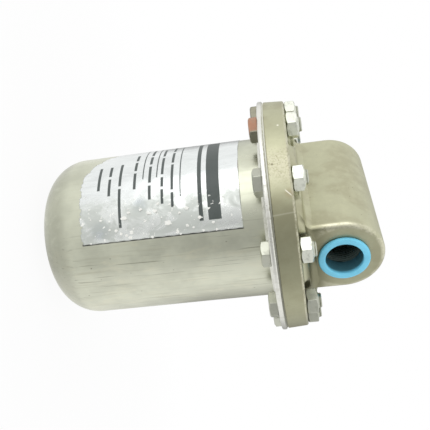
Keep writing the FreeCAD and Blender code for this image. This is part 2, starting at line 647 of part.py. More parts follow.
def make_protector(side):
    """An open sleeve with a flange, pushed into a port; side is -1 at the inlet."""
    tip_r = PROTECTOR_SKIRT_R - PROTECTOR_TAPER
    near = PROTECTOR_PLAY
    far = near + PROTECTOR_FLANGE_T
    tip = -PROTECTOR_SKIRT_L
    edge = PROTECTOR_EDGE_R
    flange_r = PROTECTOR_FLANGE_R
    ring = Outline(at(side * ARCH_HALF_L, 0, 0), ALONG * side, UP, tip, PROTECTOR_IN_R)
    ring.line(tip, tip_r).line(near, PROTECTOR_SKIRT_R).line(near, flange_r).line(far - edge, flange_r)
    ring.arc((far - edge, flange_r - edge), (far, flange_r - edge))
    ring.line(far, PROTECTOR_IN_R + edge)
    ring.arc((far - edge, PROTECTOR_IN_R + edge), (far - edge, PROTECTOR_IN_R))
    return ring.face().revolve(at(0, 0, 0), ALONG, 360)


def make_foil_label():
    low = at(0, 0, Z_KNUCKLE + LABEL_FROM_DOME)
    height = Z_LIP_UNDER - LABEL_FROM_LIP - low.z
    sweep = LABEL_TO - LABEL_FROM
    back_r = CAN_R + LABEL_GLUE_T
    wrap = Part.makeCylinder(back_r + LABEL_T, height, low, UP, sweep)
    wrap.rotate(low, UP, LABEL_FROM)
    return wrap.cut(rod(back_r, height, low))


def solids():
    yield "cap", make_cap()
    yield "canister", make_canister()
    yield "lip_ring", make_lip_ring()
    yield "flange_gasket", make_gasket()
    yield "flange_bolts", make_flange_bolts()
    yield "flange_nuts", make_flange_nuts()
    yield "valve_seat", make_valve_seat()
    yield "lever_bracket", make_lever_bracket()
    yield "bracket_screws", make_bracket_screws()
    yield "fulcrum_pin", pin_with_head(PIN_R, EAR_IN_Y + BRACKET_T, PIVOT_X, PIVOT_Z)
    yield "fulcrum_clip", pin_clip(PIN_R, EAR_IN_Y + BRACKET_T, PIVOT_X, PIVOT_Z)
    yield "lever", make_lever()
    yield "valve", make_valve()
    yield "valve_washer", make_valve_washer()
    yield "bucket", make_bucket()
    yield "bucket_weight", make_bucket_weight()
    yield "bucket_hanger", make_bucket_hanger()
    yield "hanger_rivets", make_hanger_rivets()
    yield "hanger_pin", pin_with_head(HANGER_PIN_R, HANGER_IN_Y + HANGER_T, HOOK_X, HOOK_Z)
    yield "hanger_clip", pin_clip(HANGER_PIN_R, HANGER_IN_Y + HANGER_T, HOOK_X, HOOK_Z)
    yield "inlet_tube", make_inlet_tube()
    yield "inlet_protector", make_protector(-1)
    yield "outlet_protector", make_protector(1)
    yield "foil_label", make_foil_label()


os.makedirs("parts", exist_ok=True)
for name, shape in solids():
    shape.exportStep("parts/" + name + ".step")
    box = shape.BoundBox
    print(name, len(shape.Solids), "solids", shape.isValid(), round(shape.Volume, 1), "mm3",
          "z", round(box.ZMin, 1), round(box.ZMax, 1))
print("lever pivot", at(PIVOT_X, 0, PIVOT_Z), "hanger", at(HOOK_X, 0, HOOK_Z))
print("outlet thread", Vector(OUTLET_X, 0, 0))
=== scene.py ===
import functools
import json
import math
import operator
import random

import bmesh
import bpy
from bpy.props import FloatProperty, FloatVectorProperty, IntProperty, PointerProperty
from mathutils import Matrix, Quaternion, Vector


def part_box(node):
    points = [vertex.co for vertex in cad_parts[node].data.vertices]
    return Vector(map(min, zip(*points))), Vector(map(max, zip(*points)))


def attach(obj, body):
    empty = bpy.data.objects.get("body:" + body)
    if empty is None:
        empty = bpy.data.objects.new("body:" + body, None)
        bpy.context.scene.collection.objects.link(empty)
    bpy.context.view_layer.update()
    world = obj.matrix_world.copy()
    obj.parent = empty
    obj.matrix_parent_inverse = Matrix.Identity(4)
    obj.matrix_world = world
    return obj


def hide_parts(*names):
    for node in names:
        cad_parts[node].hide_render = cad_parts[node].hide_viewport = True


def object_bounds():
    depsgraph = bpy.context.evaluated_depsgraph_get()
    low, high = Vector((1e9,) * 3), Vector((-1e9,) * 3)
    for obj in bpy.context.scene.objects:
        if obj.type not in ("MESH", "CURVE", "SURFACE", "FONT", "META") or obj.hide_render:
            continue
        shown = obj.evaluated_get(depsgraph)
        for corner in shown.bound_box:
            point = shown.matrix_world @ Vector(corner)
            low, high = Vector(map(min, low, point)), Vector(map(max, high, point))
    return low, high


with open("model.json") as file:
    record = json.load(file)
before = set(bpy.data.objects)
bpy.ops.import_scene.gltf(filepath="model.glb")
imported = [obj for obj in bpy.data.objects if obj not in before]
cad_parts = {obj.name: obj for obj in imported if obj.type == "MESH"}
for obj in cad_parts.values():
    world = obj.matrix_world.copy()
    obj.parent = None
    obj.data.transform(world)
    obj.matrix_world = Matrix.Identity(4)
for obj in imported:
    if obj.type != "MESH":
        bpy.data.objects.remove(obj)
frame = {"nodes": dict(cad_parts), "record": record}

bl_info = {
    "name": "Inverted Bucket Steam Trap",
    "version": (1, 0, 0),
    "blender": (4, 5, 0),
    "location": "3D View > Sidebar > Steam Trap",
    "description": "Dresses a bolted steam trap and sets its studio",
    "category": "Object",
}

MM = 0.001
CAD_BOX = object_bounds()

# Places read from the frame, in metres
AXIS_X = frame["record"]["mounts"][1]["pos_m"][0] / 2
THREAD_R = frame["record"]["mounts"][1]["dims"]["r_mm"] * MM
THREAD_L = frame["record"]["mounts"][1]["dims"]["length_mm"] * MM


def widest(node):
    """How far a node reaches from the canister's axis."""
    corners = frame["nodes"][node].data.vertices
    return max(math.hypot(v.co.x - AXIS_X, v.co.y) for v in corners)


CAN_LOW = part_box("canister")[0]
CAN_R = widest("canister")
CAP_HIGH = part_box("cap")[1]
CAP_R = widest("cap")
PORT_LEAD = 10 * MM  # from a port's face to where its tapped wall begins
ARCH_HALF_L = AXIS_X + PORT_LEAD
ARCH_R = CAP_HIGH.z
BOLT_LOW, BOLT_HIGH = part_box("flange_bolts")
NUT_LOW, NUT_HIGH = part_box("flange_nuts")
Z_DECK = NUT_LOW.z
LABEL_LOW, LABEL_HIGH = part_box("foil_label")
Z_LIP_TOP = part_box("flange_gasket")[0].z


# Sizes and colours that a user would change

def length(name, description, millimetres):
    return FloatProperty(name=name, description=description, default=millimetres * MM, unit="LENGTH",
                         subtype="DISTANCE", precision=5)


def angle(name, description, degrees):
    return FloatProperty(name=name, description=description, default=math.radians(degrees), unit="ROTATION",
                         subtype="ANGLE")


def colour(name, description, rgb):
    return FloatVectorProperty(name=name, description=description, default=rgb, subtype="COLOR", size=3,
                               min=0.0, max=1.0)


def number(name, description, value):
    return FloatProperty(name=name, description=description, default=value)


class TrapShape(bpy.types.PropertyGroup):
    """Sizes of the pieces that are made here."""

    can_wall: length("Canister Wall", "Thickness of the drawn sheet", 1.6)
    knuckle_r: length("Dome Knuckle", "Radius where the wall turns into the dome", 25.6)
    crown_rise: length("Dome Crown Rise", "Height of the dome's flat crown beyond its knuckle", 3.0)
    pad_r: length("Pad Radius", "Radius of the cap's raised pad", 54.94)
    pad_h: length("Pad Height", "Height of the pad above the deck", 4.0)
    foot_fillet: length("Foot Fillet", "Radius between the arch's foot and the pad", 5.5)
    bolt_count: IntProperty(name="Bolts", description="Bolts round the flange", default=10, min=3)
    bolt_circle_r: length("Bolt Circle", "Radius of the circle through the bolts", 64.4)
    bolt_r: length("Bolt Radius", "Radius of a bolt's shank over its thread", 4.76)
    chamfer_r: length("Hexagon Chamfer", "Radius where the corners' chamfer of heads and nuts starts", 6.58)
    bolt_pitch: length("Bolt Pitch", "Pitch of the bolts' thread", 1.59)
    across_flats: length("Across Flats", "Width of heads and nuts over their flats", 14.3)
    head_t: length("Head Height", "Height of a bolt's head", 5.4)
    port_pitch: length("Pipe Thread Pitch", "Pitch of the ports' thread", 1.81)
    port_depth: length("Pipe Thread Depth", "How far the ports' thread stands in from its root", 1.0)
    label_t: length("Foil Thickness", "Thickness of the foil", 0.15)
    label_lift: length("Foil Lift", "How far the foil's lower edge has lifted", 0.35)


class TrapFinish(bpy.types.PropertyGroup):
    """Colours of the finishes."""

    drawn_steel: colour("Drawn Steel", "Sheet of the canister and the bucket", (0.61, 0.625, 0.505))
    cast_steel: colour("Cast Steel", "Cap casting", (0.508, 0.507, 0.355))
    cast_stain: colour("Cast Steel Stain", "Browner patches of the casting", (0.44, 0.422, 0.285))
    bright_steel: colour("Bright Steel", "Inner works", (0.66, 0.66, 0.63))
    lip_steel: colour("Lip Steel", "Ring round the canister's mouth", (0.80, 0.80, 0.74))
    zinc: colour("Zinc Plate", "Bolts and nuts", (0.76, 0.78, 0.69))
    rust: colour("Rust", "Rust on one bolt head", (0.50, 0.25, 0.155))
    gasket: colour("Gasket", "Edge of the gasket's sheet", (0.30, 0.30, 0.25))
    plastic: colour("Protector Plastic", "Thread protectors", (0.20, 0.68, 0.93))
    foil: colour("Foil", "Label foil", (0.86, 0.89, 0.88))
    ink: colour("Ink", "Rules and bars on the foil", (0.045, 0.06, 0.055))
    glue: colour("Glue", "Dried glue and scuffs on the foil", (0.95, 0.95, 0.90))


class TrapStage(bpy.types.PropertyGroup):
    """Camera and lights."""

    eye: FloatVectorProperty(name="Camera", description="Place of the camera", subtype="TRANSLATION",
                             unit="LENGTH", default=(0.37097, -0.25001, -0.02545))
    ahead: FloatVectorProperty(name="Camera Direction", description="Where the camera looks",
                               subtype="DIRECTION", default=(-0.79976, 0.58733, -0.12424))
    roll: angle("Camera Roll", "Turn of the camera about its own line of sight", 83.43)
    lens: number("Lens", "Focal length on a 36 mm sensor", 53.24)
    softbox: number("Softbox", "Power of the lamp in watts", 3.8)
    front: number("Dark Front", "How much darker the studio is round the camera", 0.54)
    back: number("Dark Back", "How much darker the studio is behind the trap", 0.7)


# Mesh helpers

def upright(radius, turn, height):
    """A point on a ring about the canister's axis."""
    return Vector((AXIS_X + radius * math.cos(turn), radius * math.sin(turn), height))


def rounded(corners, steps):
    """The closed outline through corners given as (u, v, radius), each rounded to its radius."""
    outline = []
    for i, (u, v, radius) in enumerate(corners):
        here = Vector((u, v))
        back = (Vector(corners[i - 1][:2]) - here).normalized()
        ahead = (Vector(corners[(i + 1) % len(corners)][:2]) - here).normalized()
        half = back.angle(ahead) / 2
        centre = here + (back + ahead).normalized() * (radius / math.sin(half))
        first = here + back * (radius / math.tan(half)) - centre
        last = here + ahead * (radius / math.tan(half)) - centre
        sweep = first.angle_signed(last)
        for k in range(steps + 1):
            spoke = first.copy()
            spoke.rotate(Matrix.Rotation(-sweep * k / steps, 2))
            outline.append(tuple(centre + spoke))
    return outline


def arc(centre, radius, first, last, steps):
    """Points (u, v) on an arc, from the angle first to the angle last in degrees."""
    points = []
    for k in range(steps + 1):
        turn = math.radians(first + (last - first) * k / steps)
        points.append((centre[0] + radius * math.cos(turn), centre[1] + radius * math.sin(turn)))
    return points


def join_rings(mesh, low, high):
    """Faces between two rings of as many points, with triangles at a pole."""
    for k in range(len(low)):
        after = (k + 1) % len(low)
        corners = list(dict.fromkeys((low[k], low[after], high[after], high[k])))
        if len(corners) > 2:
            mesh.faces.new(corners)


def surface(name, layers, place, turns, closed):
    """Joins rings of points. A layer is (radius, height), or gives it for a turn. Radius 0 is a pole."""
    mesh = bmesh.new()
    rings = []
    for layer in layers:
        spots = [layer(turn) if callable(layer) else layer for turn in turns]
        if all(radius < 1e-9 for radius, _ in spots):
            rings.append([mesh.verts.new(place(0.0, 0.0, spots[0][1]))] * len(turns))
        else:
            rings.append([mesh.verts.new(place(r, turn, h)) for turn, (r, h) in zip(turns, spots)])
    pairs = list(zip(rings, rings[1:]))
    if closed:
        pairs.append((rings[-1], rings[0]))
    for low, high in pairs:
        join_rings(mesh, low, high)
    bmesh.ops.recalc_face_normals(mesh, faces=mesh.faces)
    return from_bmesh(name, mesh)


def revolved(name, profile, place, steps, closed):
    """A profile of (radius, height) points turned about an axis."""
    return surface(name, profile, place, [2 * math.pi * k / steps for k in range(steps)], closed)


def placed(name, data):
    """A new object in the scene."""
    thing = bpy.data.objects.new(name, data)
    bpy.context.scene.collection.objects.link(thing)
    return thing


def from_bmesh(name, mesh, sharp=34):
    """A smooth object whose edges are sharp above an angle in degrees."""
    data = bpy.data.meshes.new(name)
    mesh.to_mesh(data)
    mesh.free()
    data.shade_smooth()
    data.set_sharp_from_angle(angle=math.radians(sharp))
    return placed(name, data)


def baked(thing):
    """The same piece with its modifiers turned into plain mesh."""
    bpy.context.view_layer.update()
    graph = bpy.context.evaluated_depsgraph_get()
    data = bpy.data.meshes.new_from_object(thing.evaluated_get(graph))
    thing.modifiers.clear()
    old = thing.data
    thing.data = data
    data.name = thing.name
    bpy.data.meshes.remove(old)
    return thing


def dress(thing, body, material, slot, *nodes):
    """Gives a finished piece its material and its body, and hides the nodes it stands for. Its slot is not used."""
    thing.data.materials.clear()
    thing.data.materials.append(material)
    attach(thing, body)
    if nodes:
        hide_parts(*nodes)
    return thing


def refinish(node, material):
    """Gives a node of the frame a better material on its own mesh."""
    data = frame["nodes"][node].data
    data.materials.clear()
    data.materials.append(material)


# Node helpers

def arithmetic(operation, swapped=False):
    def act(self, *others):
        values = (*others, self) if swapped else (self, *others)
        return self.tree.node("ShaderNodeMath", dict(enumerate(values)), operation=operation)
    return act


class Signal:
    """A socket of a node. Arithmetic on it adds Math nodes, and | takes the larger of two."""

    def __init__(self, tree, socket):
        self.tree = tree
        self.socket = socket

    __add__ = arithmetic("ADD")
    __radd__ = arithmetic("ADD", True)
    __sub__ = arithmetic("SUBTRACT")
    __rsub__ = arithmetic("SUBTRACT", True)
    __mul__ = arithmetic("MULTIPLY")
    __rmul__ = arithmetic("MULTIPLY", True)
    __pow__ = arithmetic("POWER")
    __abs__ = arithmetic("ABSOLUTE")
    __or__ = arithmetic("MAXIMUM")

    def fade(self, start, end):
        """0 at start and 1 at end, smooth between them."""
        inputs = {"Value": self, "From Min": start, "From Max": end}
        return self.tree.node("ShaderNodeMapRange", inputs, interpolation_type="SMOOTHSTEP")

    def band(self, low, high, soft):
        """1 between low and high, 0 outside."""
        return self.fade(low - soft, low + soft) * self.fade(high + soft, high - soft)


class Nodes:
    """A node tree that is put together with expressions."""

    def __init__(self, tree):
        self.tree = tree

    def fill(self, socket, value):
        """Sets a socket to a number, or links a signal to it."""
        if isinstance(value, Signal):
            self.tree.links.new(value.socket, socket)
        else:
            socket.default_value = value

    def node(self, kind, inputs, output=0, **settings):
        """A new node with its inputs by name or number, and one of its outputs."""
        made = self.tree.nodes.new(kind)
        for key, value in settings.items():
            setattr(made, key, value)
        for key, value in inputs.items():
            self.fill(made.inputs[key], value)
        return Signal(self, made.outputs[output])

    def mix(self, factor, low, high):
        """The colour low where the factor is 0 and high where it is 1."""
        inputs = {0: factor, 6: self.rgba(low), 7: self.rgba(high)}
        return self.node("ShaderNodeMix", inputs, 2, data_type="RGBA", clamp_factor=True)

    @staticmethod
    def rgba(value):
        return value if isinstance(value, Signal) else (*value, 1.0)

    def coats(self, tone, *layers):
        """A colour with others laid over it in turn, each given as (share, colour)."""
        for share, over in layers:
            tone = self.mix(share, tone, over)
        return tone

    def mirrored(self):
        """1 for what the camera sees straight, in metal and through glass, 0 for light on matt surfaces."""
        kinds = ("Camera", "Glossy", "Transmission")
        straight, glossy, through = (self.node("ShaderNodeLightPath", {}, f"Is {kind} Ray") for kind in kinds)
        return straight | glossy | through


class GeometryTree(Nodes):
    """Geometry Nodes with named inputs, one of them the material."""

    def __init__(self, name, **sockets):
        super().__init__(bpy.data.node_groups.new(name, "GeometryNodeTree"))
        for socket, kind in sockets.items():
            self.tree.interface.new_socket(socket, in_out="INPUT", socket_type="NodeSocket" + kind)
        given = self.tree.nodes.new("NodeGroupInput")
        self.given = {socket: Signal(self, given.outputs[socket]) for socket in sockets}

    def end(self, geometry):
        """Realizes the instances, sets the material and gives the finished tree."""
        self.tree.interface.new_socket("Geometry", in_out="OUTPUT", socket_type="NodeSocketGeometry")
        whole = self.node("GeometryNodeRealizeInstances", {"Geometry": geometry})
        paint = {"Geometry": whole, "Material": self.given["Material"]}
        painted = self.node("GeometryNodeSetMaterial", paint)
        self.fill(self.tree.nodes.new("NodeGroupOutput").inputs["Geometry"], painted)
        return self.tree


class Finish(Nodes):
    """A material round one Principled BSDF."""

    def __init__(self, name):
        self.material = bpy.data.materials.new(name)
        self.material.use_nodes = True
        super().__init__(self.material.node_tree)
        self.shader = self.tree.nodes["Principled BSDF"]

    def place(self, stretch=(1, 1, 1)):
        """Object coordinates in millimetres, stretched along each axis."""
        spot = self.node("ShaderNodeTexCoord", {}, "Object")
        scale = tuple(factor / MM for factor in stretch)
        return self.node("ShaderNodeVectorMath", {0: spot, 1: scale}, operation="MULTIPLY")

    def axes(self):
        """x, y and z in millimetres, x counted from the canister's axis."""
        spot = self.place()
        parts = [self.node("ShaderNodeSeparateXYZ", {0: spot}, k) for k in range(3)]
        return parts[0] - AXIS_X / MM, parts[1], parts[2]

    def turn(self, x, y):
        """The angle about the canister's axis, in degrees."""
        return self.node("ShaderNodeMath", {0: y, 1: x}, operation="ARCTAN2") * math.degrees(1)

    def noise(self, scale, detail, rough, warp=0.0, stretch=(1, 1, 1)):
        inputs = {"Scale": scale, "Detail": detail, "Roughness": rough, "Distortion": warp}
        return self.node("ShaderNodeTexNoise", {"Vector": self.place(stretch), **inputs}, "Fac")

    def cells(self, scale, stretch=(1, 1, 1)):
        """Distance to the nearest of scattered points."""
        return self.node("ShaderNodeTexVoronoi", {"Vector": self.place(stretch), "Scale": scale}, "Distance")

    def spot(self, turn, height, radius, size, soft=0.4):
        """1 within size of a point given by its angle, height and radius in mm."""
        here = (AXIS_X / MM + radius * math.cos(math.radians(turn)), radius * math.sin(math.radians(turn)), height)
        away = self.node("ShaderNodeVectorMath", {0: self.place(), 1: here}, "Value", operation="DISTANCE")
        return away.fade(size * (1 + soft), size * (1 - soft))

    def feed(self, **sockets):
        """Sets each socket of the shader to a number or to a signal."""
        for name, value in sockets.items():
            self.fill(self.shader.inputs[name.replace("_", " ")], value)
        return self.material

    def coated(self, tone, rough, metal, relief, depth, strength):
        """The material with a colour, a roughness, how metallic it is, and a relief of a depth in mm."""
        bump = self.node("ShaderNodeBump", {"Height": relief, "Distance": depth * MM, "Strength": strength})
        return self.feed(Base_Color=tone, Roughness=rough, Metallic=metal, Normal=bump)


def shade(rgb, factor):
    """A colour made lighter or darker."""
    return tuple(min(1.0, part * factor) for part in rgb)


def made_once(make):
    """Keeps a material, so that pieces with the same finish share it. The frame's own are named otherwise."""
    def give(look):
        name = make.__name__ + "_finish"
        return bpy.data.materials.get(name) or make(look, Finish(name))
    return give


@made_once
def drawn_steel(look, f):
    """Satin sheet, clouded, with scratches along it and specks, most on the side that it has lain on."""
    x, y, z = f.axes()
    turn = f.turn(x, y)
    lain = turn.band(-28.0, 100.0, 12.0)
    # Painted light: the sheet is made lighter from -12 to 100 degrees round its axis.
    painted_light_side = turn.band(-12.0, 100.0, 7.0)
    clouds = f.noise(0.05, 3.0, 0.6)
    smears = f.noise(0.16, 4.0, 0.65, 0.4, (1, 1, 0.35))
    streaks = f.noise(0.62, 4.0, 0.7, stretch=(1, 1, 0.045))
    lines = f.noise(1.1, 2.0, 0.5, stretch=(1, 1, 0.02))
    fine = f.noise(3.5, 3.0, 0.6, stretch=(1, 1, 0.03))
    specks = f.cells(0.20, (1, 1, 0.6)).fade(0.085, 0.04) * clouds.fade(0.40, 0.60)
    # Painted shadow: a dark, dull, non-metal strip on the wall under the foil's lifted edge.
    painted_gap_shadow = turn.band(-31.8, -30.5, 0.25) * z.band(LABEL_LOW.z / MM + 0.5, LABEL_HIGH.z / MM, 0.5)
    painted_gap_shadow = painted_gap_shadow * ((x * x + y * y) ** 0.5).fade(CAN_R / MM - 0.8, CAN_R / MM - 0.4)
    # Painted shade: the domed end, up over its knuckle, is made darker, in patches with the smears.
    knuckle = z.fade(CAN_LOW.z / MM + 27.0, CAN_LOW.z / MM + 19.0)
    # Painted shade on the wall just below the lip, from -54 to -34 degrees.
    painted_shade_by_lip = turn.band(-54.0, -34.0, 6.0) * z.fade(-60.0, -55.0)
    tone = f.coats(
        f.mix(clouds.fade(0.36, 0.66), shade(look.drawn_steel, 1.06), shade(look.drawn_steel, 0.90)),
        (smears.fade(0.46, 0.68) * (0.10 + 0.50 * lain), (0.70, 0.69, 0.54)),
        (streaks.fade(0.50, 0.72) * (0.12 + 0.34 * lain), (0.44, 0.43, 0.32)),
        (lines.fade(0.65, 0.71) * (0.15 + 0.55 * lain), (0.22, 0.21, 0.15)),
        (knuckle * (0.16 + 0.34 * smears.fade(0.25, 0.52)), (0.34, 0.345, 0.275)),
        (painted_light_side * 0.22, (0.84, 0.84, 0.72)),
        (painted_shade_by_lip * 0.28, (0.36, 0.37, 0.30)),
        # A painted highlight on the dome's knuckle.
        (f.spot(-55.0, -168.9, 45.0, 1.6), (0.95, 0.95, 0.88)),
        (specks * (0.25 + 0.6 * lain), (0.17, 0.15, 0.10)),
        (painted_gap_shadow * streaks.fade(0.30, 0.42), (0.03, 0.03, 0.025)),
    )
    rough = 0.25 + streaks.fade(0.4, 0.8) * 0.12 + clouds * 0.06 + lain * 0.05
    height = fine * 0.4 + streaks + smears * 0.6
    return f.coated(tone, rough, 1.0 - painted_gap_shadow, height, 0.03, 0.35)


@made_once
def cast_steel(look, f):
    """Blasted casting: grainy skin, brown patches, pits, edges worn bright, with painted shade low on the rim, on the
    arch's ends and inside the ports.
    """
    x, y, z = f.axes()
    turn = f.turn(x, y)
    radius = (x * x + y * y) ** 0.5
    bore = (y * y + z * z) ** 0.5
    skin = f.noise(0.9, 3.0, 0.55)
    lumps = f.noise(0.17, 3.0, 0.55)
    patches = f.noise(0.05, 3.0, 0.55)
    rim = radius.fade(CAP_R / MM - 2.6, CAP_R / MM - 1.2)
    chafed = rim * turn.band(-66.0, -51.0, 4.5)
    grit = f.cells(0.62).fade(0.30, 0.12) * (0.12 + 0.75 * chafed)
    pits = f.cells(0.21).fade(0.085, 0.045)
    deck_edge = abs(z - (Z_DECK / MM - 0.5)).fade(1.0, 0.4) * rim
    end_edge = abs(abs(x) - ARCH_HALF_L / MM + 1.2).fade(2.0, 0.5) * bore.fade(20.6, 22.0)
    end_edge = end_edge * (1.0 - z.fade(-10.0, -16.0))
    worn = (deck_edge | end_edge) * (skin + lumps).fade(0.72, 1.15)
    # Painted shade: dark inside the ports' bores, and rougher there.
    painted_shade_in_ports = bore.fade(13.95, 13.7)
    # Painted shade below the deck's level from about -44 degrees round, less on the rim, and least past 12 degrees.
    painted_shade_low_side = z.fade(Z_DECK / MM + 0.6, Z_DECK / MM + 0.1) * turn.fade(-52.0, -36.0)
    painted_shade_low_side = painted_shade_low_side * (1.0 - rim * (0.33 + 0.32 * turn.fade(-12.0, 12.0)))
    # Painted shade: the arch's end faces are made darker, most towards the deck.
    end = abs(x).fade(ARCH_HALF_L / MM - 0.9, ARCH_HALF_L / MM - 0.3)
    end = end * radius.fade(60.0, 57.0) * z.fade(Z_DECK / MM + 0.2, Z_DECK / MM + 0.8)
    seam = turn + 36.9 + (z + 32.0) * 0.06
    nick = (turn + 46.1) * 1.27 - (z + 27.9) * 1.05
    tone = f.coats(
        f.mix(patches.fade(0.42, 0.62) * 0.7, shade(look.cast_steel, 1.06), look.cast_stain),
        (lumps.fade(0.42, 0.72) * 0.35, shade(look.cast_steel, 1.22)),
        (rim * 0.16, (0.27, 0.27, 0.16)),
        (painted_shade_low_side * 0.85, (0.22, 0.215, 0.135)),
        (end * (0.40 + 0.42 * z.fade(-5.0, -15.0)), (0.20, 0.195, 0.12)),
        (chafed * skin.fade(0.30, 0.62) * 0.6, (0.66, 0.64, 0.50)),
        (worn * 0.6, (0.74, 0.72, 0.57)),
        (grit * 0.55, (0.20, 0.17, 0.10)),
        (pits * 0.6, (0.16, 0.13, 0.08)),
        (f.spot(-81.6, -29.5, CAP_R / MM, 0.75), (0.92, 0.90, 0.78)),
        (f.spot(-59.4, -34.8, CAP_R / MM, 0.7) * 0.7, (0.15, 0.13, 0.08)),
        (f.spot(-45.6, -27.0, CAP_R / MM, 2.4, 0.7) * 0.45, (0.33, 0.26, 0.15)),
        (seam.band(-0.3, 0.3, 0.25) * rim * 0.28, (0.72, 0.70, 0.56)),
        (nick.band(-0.4, 0.4, 0.3) * z.band(-29.2, -26.2, 0.5) * rim * 0.8, (0.86, 0.84, 0.74)),
        (painted_shade_in_ports, (0.17, 0.22, 0.20)),
    )
    rough = 0.36 + skin * 0.16 - worn * 0.12 + chafed * 0.06 + painted_shade_in_ports * 0.2
    height = skin * (0.25 + 0.5 * chafed) + lumps * 0.6 - pits * 0.8 - grit * 0.5
    return f.coated(tone, rough, 0.94, height, 0.12, 0.35)


@made_once
def bright_steel(look, f):
    """Machined or stamped stainless with scuffs and turning marks."""
    scuffs = f.noise(0.45, 4.0, 0.7)
    fine = f.noise(2.2, 3.0, 0.6, stretch=(1, 1, 4))
    tone = f.mix(scuffs.fade(0.52, 0.70), look.bright_steel, shade(look.bright_steel, 0.62))
    rough = 0.26 + scuffs.fade(0.45, 0.75) * 0.22
    return f.coated(tone, rough, 1.0, fine + scuffs, 0.02, 0.2)


@made_once
def lip_steel(look, f):
    """Bright ring, rubbed dull and specked with grey."""
    x, y, z = f.axes()
    # In the ring this marks only wear: more scuffs and specks on this side.
    wear_and_painted_light = f.turn(x, y).band(-52.0, -18.0, 8.0)
    scuffs = f.noise(0.32, 4.0, 0.7, stretch=(1, 1, 0.5))
    rubs = f.noise(1.2, 3.0, 0.6, stretch=(0.3, 0.3, 1.6))
    specks = f.noise(0.85, 3.0, 0.6).fade(0.60, 0.68)
    tone = f.coats(
        look.lip_steel,
        (scuffs.fade(0.46, 0.68) * (0.25 + 0.4 * wear_and_painted_light), (0.52, 0.52, 0.44)),
        (specks * (0.12 + 0.25 * wear_and_painted_light), (0.26, 0.26, 0.22)),
    )
    rough = 0.28 + scuffs.fade(0.42, 0.7) * 0.2
    return f.coated(tone, rough, 1.0, rubs + scuffs, 0.05, 0.35)


@made_once
def plated_fasteners(look, f):
    """Zinc, dulled in patches, with painted shade under the lip and on the lower side, and rust on the uppermost
    head.
    """
    x, y, z = f.axes()
    turn = f.turn(x, y)
    stains = f.noise(0.30, 4.0, 0.6)
    fine = f.noise(2.6, 2.0, 0.5)
    # Below the lip: painted shade on the heads there, and the place of the rust.
    under = z.fade(Z_LIP_TOP / MM - 2.0, Z_LIP_TOP / MM - 3.0)
    rust = turn.band(-97.5, -84.2, 0.5) * under * (0.75 + 0.25 * stains.fade(0.34, 0.48))
    rust = rust * ((x * x + y * y) ** 0.5).fade(60.5, 62.5)
    bolt_end = z.fade(NUT_HIGH.z / MM + 0.1, NUT_HIGH.z / MM + 0.5)
    tone = f.coats(
        f.mix(stains.fade(0.48, 0.70), look.zinc, shade(look.zinc, 0.78)),
        # Painted shade on the heads under the lip, darker still at -81 degrees and beyond.
        (under * 0.68, (0.42, 0.425, 0.35)),
        (under * turn.fade(-78.0, -81.0) * 0.85, (0.19, 0.18, 0.13)),
        (bolt_end * 0.55, (0.36, 0.37, 0.29)),
        # Painted shade on the nuts on the lower side, beyond 4 to 14 degrees round.
        ((1.0 - under) * turn.fade(4.0, 14.0) * 0.55, (0.33, 0.34, 0.26)),
        (rust * 0.85, look.rust),
    )
    rough = 0.34 + stains.fade(0.45, 0.75) * 0.16 + rust * 0.3
    height = fine * 0.6 + stains
    return f.coated(tone, rough, 1.0 - rust * 0.8, height, 0.05, 0.3)


@made_once
def graphite_sheet(look, f):
    """Graphite sheet, with painted light on its upper side."""
    x, y, z = f.axes()
    # Painted light: the sheet is made lighter on its upper side.
    wear_and_painted_light = f.turn(x, y).fade(-34.0, -56.0)
    grain = f.noise(1.6, 3.0, 0.6)
    tone = f.mix(grain, shade(look.gasket, 0.6), shade(look.gasket, 1.6))
    tone = f.mix(wear_and_painted_light * 0.85, tone, (0.80, 0.80, 0.72))
    return f.coated(tone, 0.6 + grain * 0.25, 0.3, grain, 0.05, 0.4)


@made_once
def blue_plastic(look, f):
    """Soft moulded polyethylene with faint flow marks and scuffs, and painted shade down its hole."""
    x, y, z = f.axes()
    bore = (y * y + z * z) ** 0.5
    flow = f.noise(0.09, 2.0, 0.5, 0.6)
    scuffs = f.noise(0.9, 4.0, 0.7, stretch=(3, 1, 1))
    # Painted shade: the inside of the sleeve is made dark down the hole.
    painted_shade_in_hole = abs(x).fade(ARCH_HALF_L / MM + 1.3, ARCH_HALF_L / MM - 0.8) * bore.fade(12.6, 11.6)
    tone = f.coats(
        f.mix(flow.fade(0.3, 0.7), shade(look.plastic, 0.94), shade(look.plastic, 1.08)),
        (scuffs.fade(0.60, 0.75) * 0.25, (0.50, 0.76, 0.88)),
        (painted_shade_in_hole * 0.88, (0.05, 0.13, 0.15)),
    )
    rough = 0.36 + scuffs.fade(0.5, 0.8) * 0.2
    return f.coated(tone, rough, 0.0, scuffs, 0.03, 0.3)


